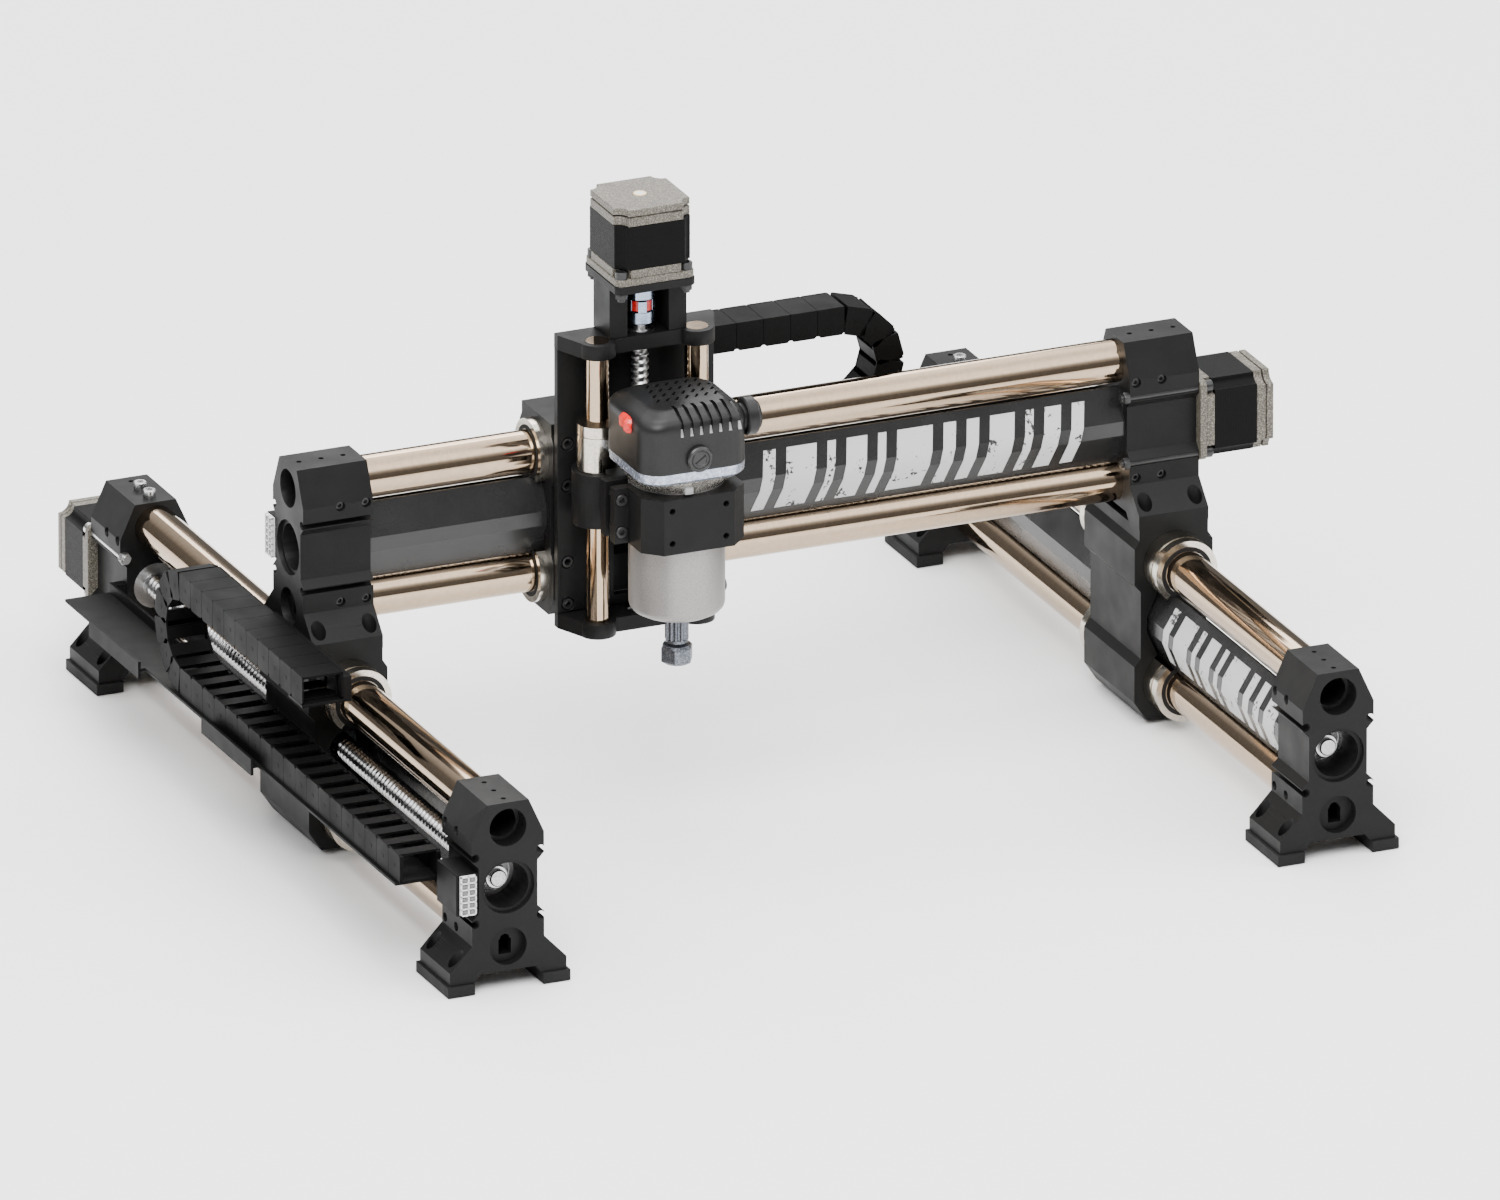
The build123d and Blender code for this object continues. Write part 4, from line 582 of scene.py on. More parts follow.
def jaw_coupling(matrix, radius, hub, spider, body, name):
    """Two hubs with interlocking jaws and the red spider between them, from local Z 0 up."""
    hubs = Shape(matrix)
    edge = 0.6
    root = radius * 0.45
    rim = radius * 0.9
    for low, high in ((0, hub), (hub + spider, 2 * hub + spider)):
        profile = [(0, low), (radius - edge, low), (radius, low + edge), (radius, high - edge),
                   (radius - edge, high), (0, high)]
        hubs.lathe(profile, 36)
    jaws = 3
    for index in range(2 * jaws):
        start = 2 * pi * index / (2 * jaws)
        sweep = 2 * pi / (2 * jaws) * 0.56
        outline = [(root * cos(start), root * sin(start))]
        outline += [(radius * cos(start + sweep * step / 5), radius * sin(start + sweep * step / 5))
                    for step in range(6)]
        outline.append((root * cos(start + sweep), root * sin(start + sweep)))
        if index % 2:
            hubs.prism(outline, hub + 0.4, hub + spider + 0.5)
        else:
            hubs.prism(outline, hub - 0.5, hub + spider - 0.4)
    hubs.finish(name + "_hubs", "hub", body, bevel=0.25)
    red = Shape(matrix)
    low = hub + 0.5
    high = hub + spider - 0.5
    red.cylinder(rim, low, high, 36)
    red.finish(name + "_spider", "red", body, slot="red_plastic")


SCREW_RADIUS = 8.0
SCREW_DEPTH = 1.5
SCREW_PITCH = 5.2
JOURNAL_RADIUS = 6.0
MOTOR_SHAFT_RADIUS = 4.0
NUT_FROM_END = 3.0         # from the screw's free end to its lock nut
NUT_HEIGHT = 7.0
NUT_CORNER = 8.66
HUB_FROM_PLATE = 13.0      # from the end plate's inner face to the coupling
HUB_LENGTH = 11.0
HUB_RADIUS = 12.5
SPIDER_LENGTH = 8.0
PLATE_DEPTH = 50.9


def screw_shape(matrix, radius, depth, pitch, journal, ends, threaded):
    """A screw along local Z: its thread between two places, and plain journals to its ends."""
    shape = Shape(matrix)
    low, high = ends
    start, stop = threaded
    chamfer = 0.8
    thread(shape, radius, depth, pitch, start, stop)
    shape.lathe([(0, low), (journal - chamfer, low), (journal, low + chamfer), (journal, start + 0.5),
                 (0, start + 0.5)], 32)
    shape.cylinder(journal, stop - 0.5, high, 32)
    return shape


def drive_end(matrix, name, body, start, radius, length, stop):
    """The coupling of a screw, from a height along its axis, and the motor's shaft beyond it."""
    local = matrix @ Matrix.Translation((0, 0, start))
    jaw_coupling(local, radius, length, SPIDER_LENGTH, body, name + "_coupling")
    shaft = Shape(matrix)
    shaft.cylinder(MOTOR_SHAFT_RADIUS, start + length + SPIDER_LENGTH, stop, 24)
    shaft.finish(name + "_motor_shaft", "silver", body)


def make_axis_screw(node, body, axis, inner):
    """A ball screw from its free end to its motor, between end plates whose inner faces are at
    minus and plus inner, in millimetres along the axis."""
    low, high, centre = span(node)
    index = "XYZ".index(axis)
    origin = centre.copy()
    origin[index] = 0
    matrix = placed(origin, axis)
    free_end = low[index] / MM
    hub_start = inner + HUB_FROM_PLATE
    shape = screw_shape(matrix, SCREW_RADIUS, SCREW_DEPTH, SCREW_PITCH, JOURNAL_RADIUS,
                        (free_end, hub_start + HUB_LENGTH), (1 - inner, inner - 1))
    shape.finish(node + "_thread", "thread", body, node, "dark_steel")
    nut = Shape(matrix)
    local = Matrix.Translation((0, 0, free_end + NUT_FROM_END))
    hex_nut(nut, NUT_CORNER, NUT_HEIGHT, JOURNAL_RADIUS, local)
    nut.finish(node + "_lock_nut", "silver", body, slot="bearing_steel")
    drive_end(matrix, node, body, hub_start, HUB_RADIUS, HUB_LENGTH, high[index] / MM)


Z_THREAD_RADIUS = 6.0
Z_THREAD_DEPTH = 1.4
Z_THREAD_PITCH = 5.0
Z_JOURNAL_RADIUS = 5.0
Z_COUPLING_GAP = 5.0       # from the top plate to the coupling
Z_HUB_LENGTH = 9.0
Z_HUB_RADIUS = 10.4


def make_z_screw():
    low, high, centre = span("z_screw")
    matrix = placed(Vector((centre.x, centre.y, 0)))
    bottom = span("z_bottom_plate")[1].z / MM + 1
    top = span("z_top_plate")[0].z / MM - 1
    hub_start = span("z_top_plate")[1].z / MM + Z_COUPLING_GAP
    shape = screw_shape(matrix, Z_THREAD_RADIUS, Z_THREAD_DEPTH, Z_THREAD_PITCH, Z_JOURNAL_RADIUS,
                        (low.z / MM, hub_start + Z_HUB_LENGTH), (bottom, top))
    shape.finish("z_screw_thread", "silver", "lift_screw", "z_screw", "bearing_steel")
    drive_end(matrix, "z", "lift_screw", hub_start, Z_HUB_RADIUS, Z_HUB_LENGTH, high.z / MM)


def make_screws():
    inner_y = span("feet")[1].y / MM - PLATE_DEPTH
    for side in ("left", "right"):
        make_axis_screw(f"y_{side}_screw", f"{side}_screw", "Y", inner_y)
    inner_x = span("right_end_plate")[0].x / MM
    make_axis_screw("x_screw", "cross_screw", "X", inner_x)
    make_z_screw()


# ---- stepper motors
MOTOR_HALF = 28.5
MOTOR_CORE_HALF = 27.75
MOTOR_NOTCH = 9.5
FLANGE_PLATE = 5.0
FLANGE_HEIGHT = 11.0
CORE_HEIGHT = 31.0
CAP_HEIGHT = 12.5
CAP_GROOVE = (0.5, 0.58)   # where the groove round the cap starts and ends, as shares of its height
EYE_RADIUS = 3.2


def make_motor(node, body, axis, place):
    """A stepper motor from its mounting face, which is at the place along the axis."""
    _, _, origin = span(node)
    origin["XYZ".index(axis)] = place
    matrix = placed(origin, axis)
    core_low = FLANGE_HEIGHT
    core_high = core_low + CORE_HEIGHT
    top = core_high + CAP_HEIGHT
    ends = Shape(matrix)
    ends.prism(rounded_square(MOTOR_HALF, MOTOR_HALF, 5), 0, FLANGE_PLATE)
    waist = notched_square(MOTOR_CORE_HALF, MOTOR_NOTCH)
    narrow = notched_square(MOTOR_CORE_HALF - 0.9, MOTOR_NOTCH)
    wide = notched_square(MOTOR_CORE_HALF, MOTOR_NOTCH - 1.6)
    ends.prism(waist, FLANGE_PLATE, FLANGE_HEIGHT)
    groove_low, groove_high = (core_high + CAP_HEIGHT * share for share in CAP_GROOVE)
    ends.prism(wide, core_high, groove_low)
    ends.prism(narrow, groove_low, groove_high)
    ends.prism(wide, groove_high, top - 0.4)
    ends.finish(node + "_ends", "motor_end", body, node, "motor_case", bevel=0.5)
    core = Shape(matrix)
    core.prism(notched_square(MOTOR_CORE_HALF - 0.2, MOTOR_NOTCH - 3), core_low, core_high)
    core.finish(node + "_core", "core_" + axis, body, slot="motor_case", bevel=0.3)
    rear = Shape(matrix)
    outer = EYE_RADIUS + 1.4
    rear.lathe([(EYE_RADIUS, top - 1), (EYE_RADIUS, top), (outer - 0.4, top), (outer, top - 0.25),
                (outer, top - 1)], 32, closed=True)
    rear.finish(node + "_rear_ring", "brass", body)
    eye = Shape(matrix)
    eye.cylinder(EYE_RADIUS, top - 1, top - 0.1, 24)
    eye.finish(node + "_rear_centre", "white", body)


def make_motors():
    for side in ("left", "right"):
        node = f"y_{side}_motor"
        make_motor(node, "base", "Y", span(node)[0].y)
    make_motor("x_motor", "gantry", "X", span("x_motor")[0].x)
    make_motor("z_motor", "carriage", "Z", span("z_motor")[0].z)


# ---- cable chains
LINK_WIDTH = 30.0
LINK_HEIGHT = 20.0
LINK_PLATE = 2.6
LINK_PITCH = 20.0          # about; each run takes a whole number of links


def chain_link(shape, length, local):
    """One link along local X, with +Z the outside of the bend: side plates, lid and crossbar."""
    half = LINK_WIDTH / 2
    tall = LINK_HEIGHT / 2
    thick = LINK_PLATE / 2
    seam = 0.18
    for side in (-1, 1):
        y0, y1 = sorted((side * (half - 0.15), side * (half - thick)))
        outline = [(seam, -tall + 2), (2.2, -tall), (length - 2.2, -tall), (length - seam, -tall + 2),
                   (length - seam, tall - 1), (length - 1.2, tall), (1.2, tall), (seam, tall - 1)]
        shape.prism(outline, y0, y1, local @ SWAP_YZ)
        y0, y1 = sorted((side * (half - thick), side * (half - LINK_PLATE)))
        shape.box((-length * 0.12, y0, -tall + 0.8), (length * 0.6, y1, tall - 0.8), local)
        y0, y1 = sorted((side * (half - 0.3), side * half))
        shape.box((length * 0.42, y0, -1.0), (length * 0.58, y1, 1.0), local)
    shape.box((seam, -half + 0.4, tall - 1.6), (length - seam, half - 0.4, tall - 0.15), local)
    shape.box((length * 0.16, -half + thick, -tall + 0.2),
              (length * 0.66, half - thick, -tall + 1.8), local)


def facing(x_axis, z_axis):
    """The turn that takes local X and Z to two directions."""
    return Matrix((x_axis, z_axis.cross(x_axis), z_axis)).transposed().to_4x4()


def trim_behind(shape, origin, forward):
    """Move every vertex that stands behind a plane onto it, so that a chain's part ends flat."""
    for vertex in shape.bm.verts:
        behind = (vertex.co - origin).dot(forward)
        if behind < 0:
            vertex.co -= forward * behind


def chain_run(name, start, end, outward, blend_from, blend_to):
    """A straight run of links between two points, whose outer side faces the outward vector."""
    way = end - start
    length = way.length / MM
    count = round(length / LINK_PITCH)
    pitch = length / count
    x_axis = way.normalized()
    turn = facing(x_axis, Vector(outward))
    shape = Shape(Matrix.Translation(start) @ turn @ Matrix.Scale(MM, 4))
    for index in range(count):
        chain_link(shape, pitch, Matrix.Translation((index * pitch, 0, 0)))
    trim_behind(shape, start, x_axis)
    piece = shape.finish(name, "chain", None, name + "_run", "chain_plastic")
    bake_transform(piece)


def chain_bend(name, body, centre, forward):
    """The half-turn of a chain about its centre, from below to above, bulging along forward."""
    up = Vector((0, 0, 1))
    shape = Shape()
    sweep = pi / BEND_LINKS
    for index in range(BEND_LINKS):
        first = -pi / 2 + index * sweep
        second = first + sweep
        a = centre + (forward * cos(first) + up * sin(first)) * BEND_RADIUS * MM
        b = centre + (forward * cos(second) + up * sin(second)) * BEND_RADIUS * MM
        x_axis = (b - a).normalized()
        out = ((a + b) / 2 - centre).normalized()
        local = Matrix.Translation(a / MM) @ facing(x_axis, out)
        chain_link(shape, (b - a).length / MM, local)
    trim_behind(shape, centre + forward * BEND_END_GAP * MM, forward)
    shape.finish(name + "_turn", "chain", body, name + "_bend", "chain_plastic")


BEND_RADIUS = 34.0
BEND_LINKS = 6
BEND_END_GAP = 0.05        # between the bend's flat ends and the runs
X_BLEND_SPREAD = 45.0      # moves the upper X run's blend points in from its ends


def make_chain(name, axis, bend, spread=0.0):
    """A chain along X or Y: its fixed lower run, its moving upper run and the bend between them."""
    index = "XY".index(axis)
    forward = Vector([1.0 if index == turn else 0.0 for turn in range(3)])
    lower_low, _, lower = span(f"{name}_lower_run")
    upper_low, _, upper = span(f"{name}_upper_run")
    bend_at = span(f"{name}_bend")[0][index]
    moving_at = upper_low[index]

    def at(place, height):
        point = Vector((lower.x, lower.y, height))
        point[index] = place
        return point

    start = at(lower_low[index], lower.z)
    end = at(bend_at, lower.z)
    chain_run(f"{name}_lower", start, end, (0, 0, -1), start, end)
    reach = spread * MM
    chain_run(f"{name}_upper", at(bend_at, upper.z), at(moving_at, upper.z), (0, 0, 1),
              at(2 * bend_at - moving_at + reach, upper.z), at(moving_at - reach, upper.z))
    chain_bend(name, bend, at(bend_at, (lower.z + upper.z) / 2), forward)


def make_chains():
    make_chain("y_chain", "Y", "y_bend")
    make_chain("x_chain", "X", "x_bend", X_BLEND_SPREAD)


# ---- connectors
CONNECTOR_ROWS = 6
CELL_RIM = 0.8
CELL_DEPTH = 1.8


def make_connector(node, body, along):
    """A cable connector: its dark case, and a white socket with two columns of cells. The socket is
    wide along X (0) or Y (1), and opens towards the low end of the other axis."""
    boxes = [corners(points) for points in islands(node)]
    boxes.sort(key=lambda box: prod(box[1] - box[0]))
    (low, high), case = boxes
    shell = Shape(METRES)
    shell.box(*case)
    shell.finish(node + "_case", "sheet", body, node, "white_connector", bevel=0.6)
    block = Shape(METRES)
    terminals_and_cell_shade = Shape(METRES)
    across = 1 - along
    rim = CELL_RIM * MM
    face = low[across]
    floor_at = face + CELL_DEPTH * MM

    def put(shape, a0, a1, d0, d1, z0, z1):
        first = [0, 0, z0]
        second = [0, 0, z1]
        first[along], second[along] = a0, a1
        first[across], second[across] = d0, d1
        shape.box(first, second)

    put(block, low[along], high[along], floor_at, high[across], low.z, high.z)
    for column in (low[along], (low[along] + high[along]) / 2 - rim / 2, high[along] - rim):
        put(block, column, column + rim, face, floor_at, low.z, high.z)
    for row in range(CONNECTOR_ROWS + 1):
        z = low.z + (high.z - low.z - rim) * row / CONNECTOR_ROWS
        put(block, low[along], high[along], face, floor_at, z, z + rim)
    width = (high[along] - low[along] - 3 * rim) / 2
    height = (high.z - low.z - (CONNECTOR_ROWS + 1) * rim) / CONNECTOR_ROWS
    # Each cell holds a dark grey block over most of its opening: its terminal, and painted shade of the
    # cell's depth.
    for column in range(2):
        for row in range(CONNECTOR_ROWS):
            a = low[along] + rim + column * (width + rim) + width * 0.15
            z = low.z + rim + row * (height + rim) + height * 0.22
            put(terminals_and_cell_shade, a, a + width * 0.7, face + 0.3 * MM, floor_at, z, z + height * 0.56)
    block.finish(node + "_socket", "white", body, slot="white_connector")
    terminals_and_cell_shade.finish(node + "_contacts", "terminal_and_cell_shade", body)


def make_connectors():
    make_connector("y_connector", "base", 0)
    make_connector("x_connector", "gantry", 1)


# ---- covers' generic print
PRINT_LIFT = 0.25
PRINT_THICK = 0.4
COVER_DEPTH = 18.2         # from the tubes' middle to the cover's flat face
COVER_FLAT = 5.0           # half the flat face's height
COVER_SLOPE = 10.2 / 22
BAR_WIDTHS = (9, 22, 6, 15, 6, 26, 9, 9, 18, 6, 12)
BAR_GAP = 8.0
BAR_HALF_HEIGHT = 21.0
BAR_SLANT = 0.22
X_PRINT = (5, 255)         # where the bars start and end along each cover
Y_PRINT = (75, 262)


def cover_depth(height):
    """The cover's outer face at a height from its middle: flat in the middle, sloping to its edges."""
    return COVER_DEPTH - max(0.0, abs(height) - COVER_FLAT) * COVER_SLOPE


def bar(shape, start, width, place):
    """One slanted printed bar that follows the cover's folds."""
    rows = []
    for z in (-BAR_HALF_HEIGHT, -COVER_FLAT, COVER_FLAT, BAR_HALF_HEIGHT):
        front = cover_depth(z) + PRINT_LIFT
        near = start + BAR_SLANT * (z + BAR_HALF_HEIGHT)
        rows.append([shape.point(*place(a, depth, z)) for depth in (front, front - PRINT_THICK)
                     for a in (near, near + width)])
    for low_row, high_row in zip(rows, rows[1:]):
        for a, b in ((0, 1), (1, 3), (3, 2), (2, 0)):
            shape.bm.faces.new((low_row[a], low_row[b], high_row[b], high_row[a]))
    for row in (rows[0], rows[-1]):
        shape.bm.faces.new((row[0], row[1], row[3], row[2]))


def printed_bars(name, body, place, start, end):
    """Bars of the listed widths in turn, as many as fit between the start and the end."""
    shape = Shape()
    at = start
    index = 0
    while at + BAR_WIDTHS[index % len(BAR_WIDTHS)] <= end:
        width = BAR_WIDTHS[index % len(BAR_WIDTHS)]
        bar(shape, at, width, place)
        at += width + BAR_GAP
        index += 1
    shape.finish(name, "print", body, slot="dark_sheet")


def make_prints():
    low, _, centre = span("x_cover")
    y_axis = low.y / MM + COVER_DEPTH
    z_axis = centre.z / MM
    printed_bars("x_cover_print", "gantry", lambda a, depth, z: (a, y_axis - depth, z_axis + z),
                 *X_PRINT)
    z_axis = span("y_covers")[2].z / MM
    left = span("y_left_screw")[2].x / MM
    right = span("y_right_screw")[2].x / MM
    printed_bars("y_right_print", "base", lambda a, depth, z: (right - depth, -a, z_axis + z), *Y_PRINT)
    near, far = Y_PRINT
    printed_bars("y_left_print", "base", lambda a, depth, z: (left + depth, a, z_axis + z), -far, -near)


# ---- trim router
SKIRT_ABOVE_CLAMP = 1.5
SKIRT_BAND = 6.5
RIBS_FROM = 9.0            # from the casting's bottom to its lowest rib
SIDE_RIBS = 34
RIB_ANGLES = (206, 209)
FOOT_TAB_ANGLES = (225, 262, 318, 20, 110)


def make_router():
    low, high, centre = span("router_body")
    matrix = placed(Vector((centre.x, centre.y, 0)))
    radius = (high.x - low.x) / 2 / MM
    clamp_low, clamp_high, _ = span("router_clamp")
    top = clamp_high.z / MM + SKIRT_ABOVE_CLAMP
    make_casting(matrix, radius, low.z / MM, clamp_low.z / MM - 1, top)
    make_skirt(matrix, radius, top, span("router_skirt")[1].z / MM)
    make_housing(matrix)


def make_casting(matrix, radius, bottom, rib_top, top):
    """The router's body: its foot, its side ribs and the bore of the spindle lock button."""
    body = Shape(matrix)
    body.lathe([(0, bottom + 3.5), (14, bottom + 3.5), (15, bottom + 0.6), (23.5, bottom),
                (25.0, bottom + 1.2), (26.2, bottom + 1.2), (30.2, bottom + 3.4), (31.7, bottom + 5.2),
                (radius, bottom + 8), (radius, top), (0, top)], 96)
    for index in range(SIDE_RIBS):
        z = bottom + RIBS_FROM + (rib_top - bottom - RIBS_FROM) * index / (SIDE_RIBS - 1)
        for angle in RIB_ANGLES:
            local = Matrix.Rotation(radians(angle), 4, "Z") @ Matrix.Translation((radius - 0.35, 0, z))
            body.box((-0.3, -0.55, -0.45), (0.35, 0.55, 0.45), local)
    for angle in FOOT_TAB_ANGLES:
        local = Matrix.Rotation(radians(angle), 4, "Z") @ Matrix.Translation((25.5, 0, bottom + 1.4))
        body.box((-3, -5, -1.2), (2.6, 5, 1.2), local)
    casting = body.finish("router_casting", "router", None)
    low, high, button = span("spindle_lock_button")
    bore = Shape(placed(Vector((low.x - 2.2 * MM, button.y, button.z)), "X"))
    bore.cylinder((high.y - low.y) / 2 / MM + 0.25, 0, 20, 36)
    carve(casting, bore.finish("button_bore", "router", None))
    settle(casting, "slide", "router_body")


def settle(piece, body, node):
    """Let a carved piece ride on its body, in place of its CAD node."""
    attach(piece, body)
    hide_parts(node)


def make_skirt(matrix, radius, low, high):
    """The translucent skirt between the body and the housing, its bright band and its clip."""
    steps = 10
    band_low = high - SKIRT_BAND
    cone = Shape(matrix)
    cone.loft([(circle_like(radius, steps), low - 1), (circle_like(radius + 0.6, steps), low + 1.5),
               (rounded_square(34.6, 33.8, 22, steps), low + 5),
               (rounded_square(36.5, 35.5, 17, steps), band_low)])
    cone.finish("skirt_cone", "cone", "slide", "router_skirt", "clear_skirt")
    band = Shape(matrix)
    band.loft([(rounded_square(half, half - 1, 16, steps), z)
               for half, z in ((36.8, band_low - 0.6), (38.4, band_low + 1.2), (38.8, high + 1))])
    band.finish("skirt_band", "band", "slide", slot="clear_skirt")
    clip = Shape(matrix)
    clip.box((-9, -radius - 3.2, low - 0.4), (-3, -radius + 2, low + 4.5))
    clip.finish("skirt_clip", "grey", "slide", bevel=0.5)


def circle_like(radius, steps):
    """A circle with the same points as a rounded square of the same steps."""
    return rounded_square(radius, radius, radius, steps)


def carve(piece, knife):
    """Cut one piece by another, bake the result and remove the cutter."""
    modifier = piece.modifiers.new("carve", "BOOLEAN")
    modifier.object = knife
    modifier.solver = "EXACT"
    bpy.context.view_layer.update()
    cut = bpy.data.meshes.new_from_object(piece.evaluated_get(bpy.context.evaluated_depsgraph_get()))
    piece.modifiers.clear()
    piece.data = cut
    cut.shade_smooth()
    cut.set_sharp_from_angle(angle=SMOOTH_ANGLE)
    bpy.data.objects.remove(knife)


VENTS = 7
VENT_PITCH = 7.0
FIRST_VENT = -12.0
VENT_ROWS = 4
# how far the housing's outline is drawn in, its corner radius, and its height below the top
HOUSING_SHOULDER = ((0, 16, 14), (0, 16, 11), (0.7, 16, 8.4), (2.2, 15.5, 5.8), (4.6, 15, 4.0),
                    (6.4, 14, 3.2), (10, 12, 1.0), (12, 11, 0.1), (13, 10, 0))


def make_housing(matrix):
    """The top housing with its vents: slots over the front shoulder and slanted slots on top."""
    low, high, _ = span("router_housing")
    bottom = low.z / MM
    top = high.z / MM
    half_x = (high.x - low.x) / 2 / MM
    half_y = (high.y - low.y) / 2 / MM
    levels = [(1.2, 15, bottom), (0.2, 16, bottom + 1.0), (0.4, 16, bottom + 22)]
    levels += [(inset, corner, top - drop) for inset, corner, drop in HOUSING_SHOULDER]
    shell = Shape(matrix)
    shell.loft([(rounded_square(half_x - inset, half_y - inset, corner, 8), z)
                for inset, corner, z in levels])
    piece = shell.finish("router_shell", "plastic", None)
    cutter = Shape(matrix)
    tips = Shape(matrix)
    front = -half_y
    for index in range(VENTS):
        x = FIRST_VENT + index * VENT_PITCH
        local = Matrix(((0, 0, 1, x), (1, 0, 0, 0), (0, 1, 0, 0), (0, 0, 0, 1)))
        cutter.prism([(front - 1, top - 17), (front + 3.2, top - 15), (front + 3.2, top - 8),
                      (front + 9, top - 4.4), (front + 18, top - 2.6), (front + 18, top + 1),
                      (front - 1, top + 1)], -1.25, 1.25, local)
        tips.prism([(front + 0.2, top - 16.6), (front + 3.0, top - 15.4), (front + 3.0, top - 11.5)],
                   -1.15, 1.15, local)
    for row in range(VENT_ROWS):
        for column in range(VENTS):
            place = (-17 + column * VENT_PITCH + row * 1.4, -8 + row * 9.2, top - 2)
            local = Matrix.Translation(place) @ Matrix.Rotation(radians(-38), 4, "Z")
            cutter.box((-0.9, -3.0, -1.2), (0.9, 3.0, 4), local)
    carve(piece, cutter.finish("vent_cutter", "plastic", None))
    soften(piece, 0.35)
    settle(piece, "slide", "router_housing")
    tips.finish("vent_tips", "grey", "slide")


def make_brush_caps():
    low, high, centre = span("brush_caps")
    radius = 9.0
    for name, y, axis in (("front", low.y, "-Y"), ("rear", high.y, "Y")):
        matrix = placed(Vector((centre.x, y, centre.z)), axis)
        cap = Shape(matrix)
        cap.lathe([(0, -4), (radius, -4), (radius, -0.9), (radius - 0.9, 0), (radius - 2.2, 0),
                   (radius - 2.6, -0.6), (6.0, -0.6), (5.6, -0.1), (4.6, -0.1), (4.3, -0.5),
                   (0, -0.5)])
        stands_for = "brush_caps" if name == "front" else None
        cap.finish(f"{name}_brush_cap", "black_screw", "slide", stands_for, "black_plastic")
        # The screwdriver slot is a thin dark strip lying on the cap's face: painted shade standing in
        # for the slot's depth.
        groove = Shape(matrix)
        local = Matrix.Rotation(radians(35 if name == "front" else -35), 4, "Z")
        groove.box((-4.2, -0.55, -0.5), (4.2, 0.55, -0.42), local)
        groove.finish(f"{name}_brush_slot_shade", "rubber", "slide")


def make_gland():
    low, high, centre = span("cord_gland")
    radius = (high.y - low.y) / 2 / MM
    length = (high.x - low.x) / MM
    gland = Shape(placed(Vector((low.x, centre.y, centre.z)), "X"))
    gland.lathe([(4.5, 0), (radius * 0.7, 0), (radius * 0.7, 3), (radius - 0.8, 3.2), (radius, 4.2),
                 (radius, length - 3.6), (radius - 1.1, length - 2.4), (radius - 2.6, length - 1.9),
                 (radius - 3.4, length - 0.3), (radius - 5, length), (4.5, length)], 48, closed=True)
    gland.finish("router_gland", "plastic", "slide", "cord_gland", "black_plastic")


def make_spindle():
    low, high, centre = span("collet_nut")
    bottom = low.z / MM
    top = high.z / MM
    neck_top = span("router_body")[0].z / MM + 2
    matrix = placed(Vector((centre.x, centre.y, 0)))
    radius = 11.4
    nut = Shape(matrix)
    rings = [(circle(3.8), bottom + 4), (circle(3.8), bottom + 0.4), (circle(4.4), bottom),
             (circle(8.6), bottom), (hexagon_ring(radius), bottom + 1.8),
             (hexagon_ring(radius), top - 2.6), (circle(9.4), top - 0.6), (circle(7.0), top)]
    nut.loft(rings)
    nut.finish("collet_nut_hex", "dark_steel", "rotor", "collet_nut", "dark_steel", bevel=0.3)
    neck = Shape(matrix)
    splines = 12
    outline = []
    for index in range(splines * 4):
        reach = 8.0 if index % 4 in (0, 1) else 6.9
        angle = 2 * pi * index / (splines * 4)
        outline.append((reach * cos(angle), reach * sin(angle)))
    neck.prism(circle(6.0, 48), top - 1, top + 4)
    neck.prism(outline, top + 3, neck_top + 4)
    neck.cylinder(7.6, top + 1.2, top + 3.2, 32)
    neck.finish("spindle_neck", "dark_steel", "rotor", "spindle", "dark_steel")


def make_switch():
    """The power switch's rocker, pinched at its middle, as outlines from its front to its rear."""
    low, high, centre = span("power_switch")
    (x0, y0, z0), (x1, y1, z1) = low / MM, high / MM
    middle = centre.y / MM
    levels = ((y0, 2.4, 3.0), (y0 + 1.6, 0.9, 1.2), (y0 + 4.2, 0.0, 0.5), (y0 + 7.4, 1.0, 0.3),
              (middle, 2.6, 0.3), (y1 - 4, 1.8, 0.3), (y1 - 1.2, 1.6, 0.8), (y1, 2.6, 2.2))
    sections = []
    for y, proud, inset in levels:
        face = x0 + proud
        bottom = z0 + inset
        top = z1 - inset
        sections.append(([(face, bottom + 2.4), (face, top - 2.4), (face + 2.2, top), (x1, top),
                          (x1, bottom), (face + 2.2, bottom)], y))
    rocker = Shape()
    rocker.loft(sections, SWAP_YZ)
    rocker.finish("switch_rocker", "red", "switch", "power_switch", "red_plastic", bevel=0.3)


def make_lock_button():
    low, high, centre = span("spindle_lock_button")
    length = (high.x - low.x) / MM
    radius = (high.y - low.y) / 2 / MM
    button = Shape(placed(Vector((low.x, centre.y, centre.z)), "X"))
    button.lathe([(0, 0), (radius, 0), (radius, length - 1.0), (radius - 0.8, length - 0.2),
                  (radius - 1.6, length), (2.2, length - 0.4), (0, length - 0.6)], 36)
    button.finish("lock_button", "plastic", "lock_button", "spindle_lock_button", "black_plastic")


# ---- small trim
def make_trim():
    """Socket screws on the rear feet, and the dark seals in the mouths of the ball bushings."""
    _, corner, _ = span("feet")
    screws = Shape(METRES)
    for node in ("y_left_screw", "y_right_screw"):
        x = span(node)[2].x
        for depth in (24.0, 40.0):
            origin = Vector((x, corner.y - depth * MM, corner.z))
            socket_screw(screws, 4.3, 5.5, 1.7, 4.0, placed(origin, "Z"))
    screws.finish("foot_top_screws", "silver", "base", slot="steel_fastener")
    seals("y_bushing_seals", "y_bushings", "gantry", 1)
    seals("x_bushing_seals", "x_bushings", "carriage", 0)


BUSHING_RADIUS = 22.5
SEAL_RADII = (18.4, 15.3)


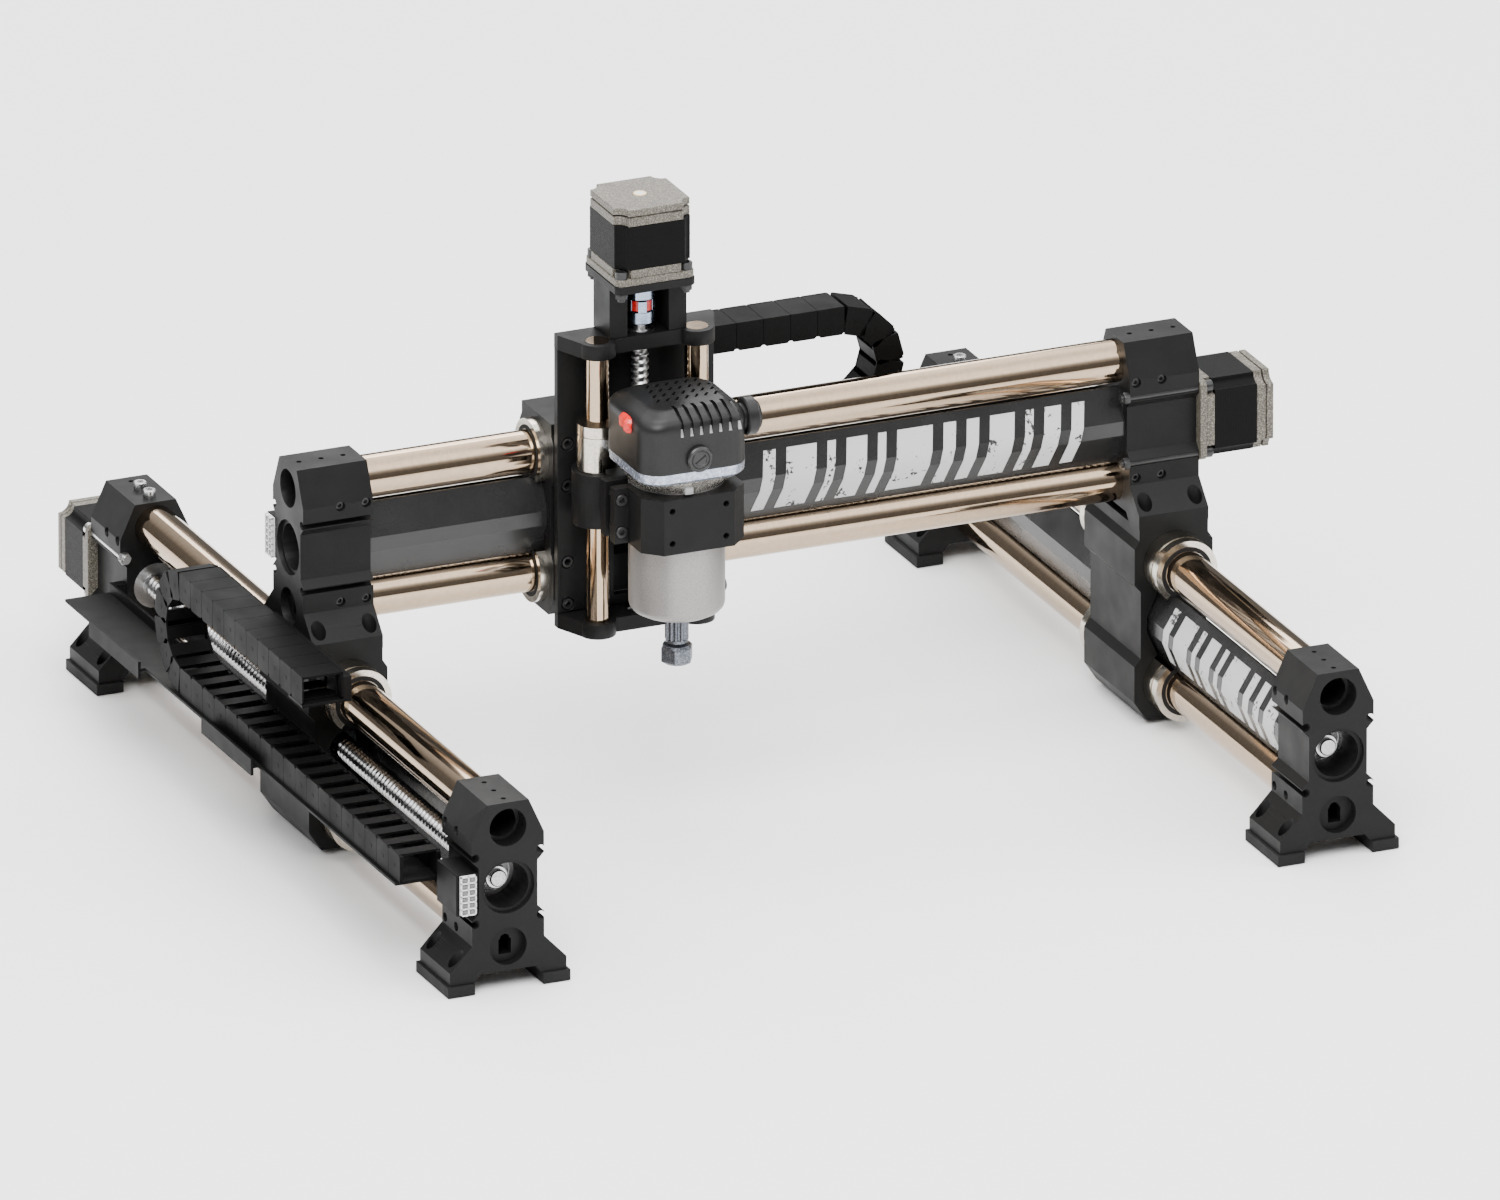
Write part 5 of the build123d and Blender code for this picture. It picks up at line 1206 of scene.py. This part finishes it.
def seals(name, node, body, along):
    """A dark wiper ring in each exposed bushing face."""
    low, high, middle = span(node)
    shape = Shape(METRES)
    for points in islands(node):
        box_low, box_high = corners(points)
        origin = (box_low + box_high) / 2
        upper = origin.z > middle.z
        origin.z = box_high.z - BUSHING_RADIUS * MM if upper else box_low.z + BUSHING_RADIUS * MM
        for end, sign in ((box_low[along], "-"), (box_high[along], "")):
            if min(abs(end - low[along]), abs(end - high[along])) > MM:
                continue
            origin[along] = end
            shape.ring(*SEAL_RADII, -0.5, 0.15, 0.1, placed(origin, sign + "XYZ"[along]))
    shape.finish(name, "rubber", body)


# ---- studio
FLOOR_REACH = 6.0
FLOOR_DROP = 0.0005
# the sky's brightness by height: a dim horizon and a bright band high up, for banded reflections
SKY = ((0.0, 0.16), (0.34, 0.22), (0.52, 0.75), (0.68, 3.2), (0.86, 3.0), (1.0, 1.5))
SKY_STRENGTH = 1.15


def make_floor():
    mesh = bpy.data.meshes.new("floor")
    spread = (-FLOOR_REACH, FLOOR_REACH)
    mesh.from_pydata([(x, y, -FLOOR_DROP) for x in spread for y in spread], [], [(0, 2, 3, 1)])
    ground = bpy.data.objects.new("floor", mesh)
    bpy.context.scene.collection.objects.link(ground)
    mesh.materials.append(Paint("floor", 0.93, 0.85, 0.0, 0.05).material)


def make_sky():
    world = bpy.data.worlds.new("studio")
    bpy.context.scene.world = world
    world.use_nodes = True
    tree = world.node_tree
    background = tree.nodes["Background"]
    coordinates = tree.nodes.new("ShaderNodeTexCoord")
    split = tree.nodes.new("ShaderNodeSeparateXYZ")
    ramp = tree.nodes.new("ShaderNodeValToRGB")
    tree.links.new(coordinates.outputs["Generated"], split.inputs["Vector"])
    tree.links.new(split.outputs["Z"], ramp.inputs["Fac"])
    tree.links.new(ramp.outputs["Color"], background.inputs["Color"])
    fill_ramp(ramp, SKY)
    background.inputs["Strength"].default_value = SKY_STRENGTH


def make_studio():
    make_floor()
    make_sky()
    lamp("key", (-1.2, -2.0, 2.6), 1.8, 105)
    lamp("fill", (2.6, -1.2, 1.8), 1.6, 34)
    lamp("back", (0.6, 2.4, 2.2), 1.6, 46)
    lamp("top", (0.0, 0.0, 3.0), 1.4, 46)


def lamp(name, place, size, power):
    data = bpy.data.lights.new(name, "AREA")
    data.shape = "SQUARE"
    data.size = size
    data.energy = power
    light = bpy.data.objects.new(name, data)
    light.location = place
    aim = Vector((0, 0, 0.15)) - Vector(place)
    light.rotation_mode = "QUATERNION"
    light.rotation_quaternion = aim.to_track_quat("-Z", "Y")
    bpy.context.scene.collection.objects.link(light)


# The camera stands far off with a long lens, so that parallel edges stay parallel.
VIEW_AZIMUTH = radians(-23.39)
VIEW_ELEVATION = radians(21.16)
VIEW_WIDTH = 1.017
LENS = 1200.0
SENSOR = 36.0
CAMERA_TARGET = (0.1296, 0.2647, 0.0)


def make_camera():
    data = bpy.data.cameras.new("camera")
    data.lens = LENS
    data.sensor_width = SENSOR
    distance = VIEW_WIDTH * LENS / SENSOR
    data.clip_end = 2 * distance
    camera = bpy.data.objects.new("camera", data)
    back = Vector((sin(VIEW_AZIMUTH) * cos(VIEW_ELEVATION), -cos(VIEW_AZIMUTH) * cos(VIEW_ELEVATION),
                   sin(VIEW_ELEVATION)))
    camera.location = Vector(CAMERA_TARGET) + back * distance
    camera.rotation_mode = "QUATERNION"
    camera.rotation_quaternion = (-back).to_track_quat("-Z", "Y")
    bpy.context.scene.collection.objects.link(camera)
    bpy.context.scene.camera = camera


dress_cad_nodes()
make_fasteners()
make_screws()
make_motors()
make_chains()
make_connectors()
make_prints()
make_router()
make_brush_caps()
make_gland()
make_spindle()
make_switch()
make_lock_button()
make_trim()
make_studio()
make_camera()
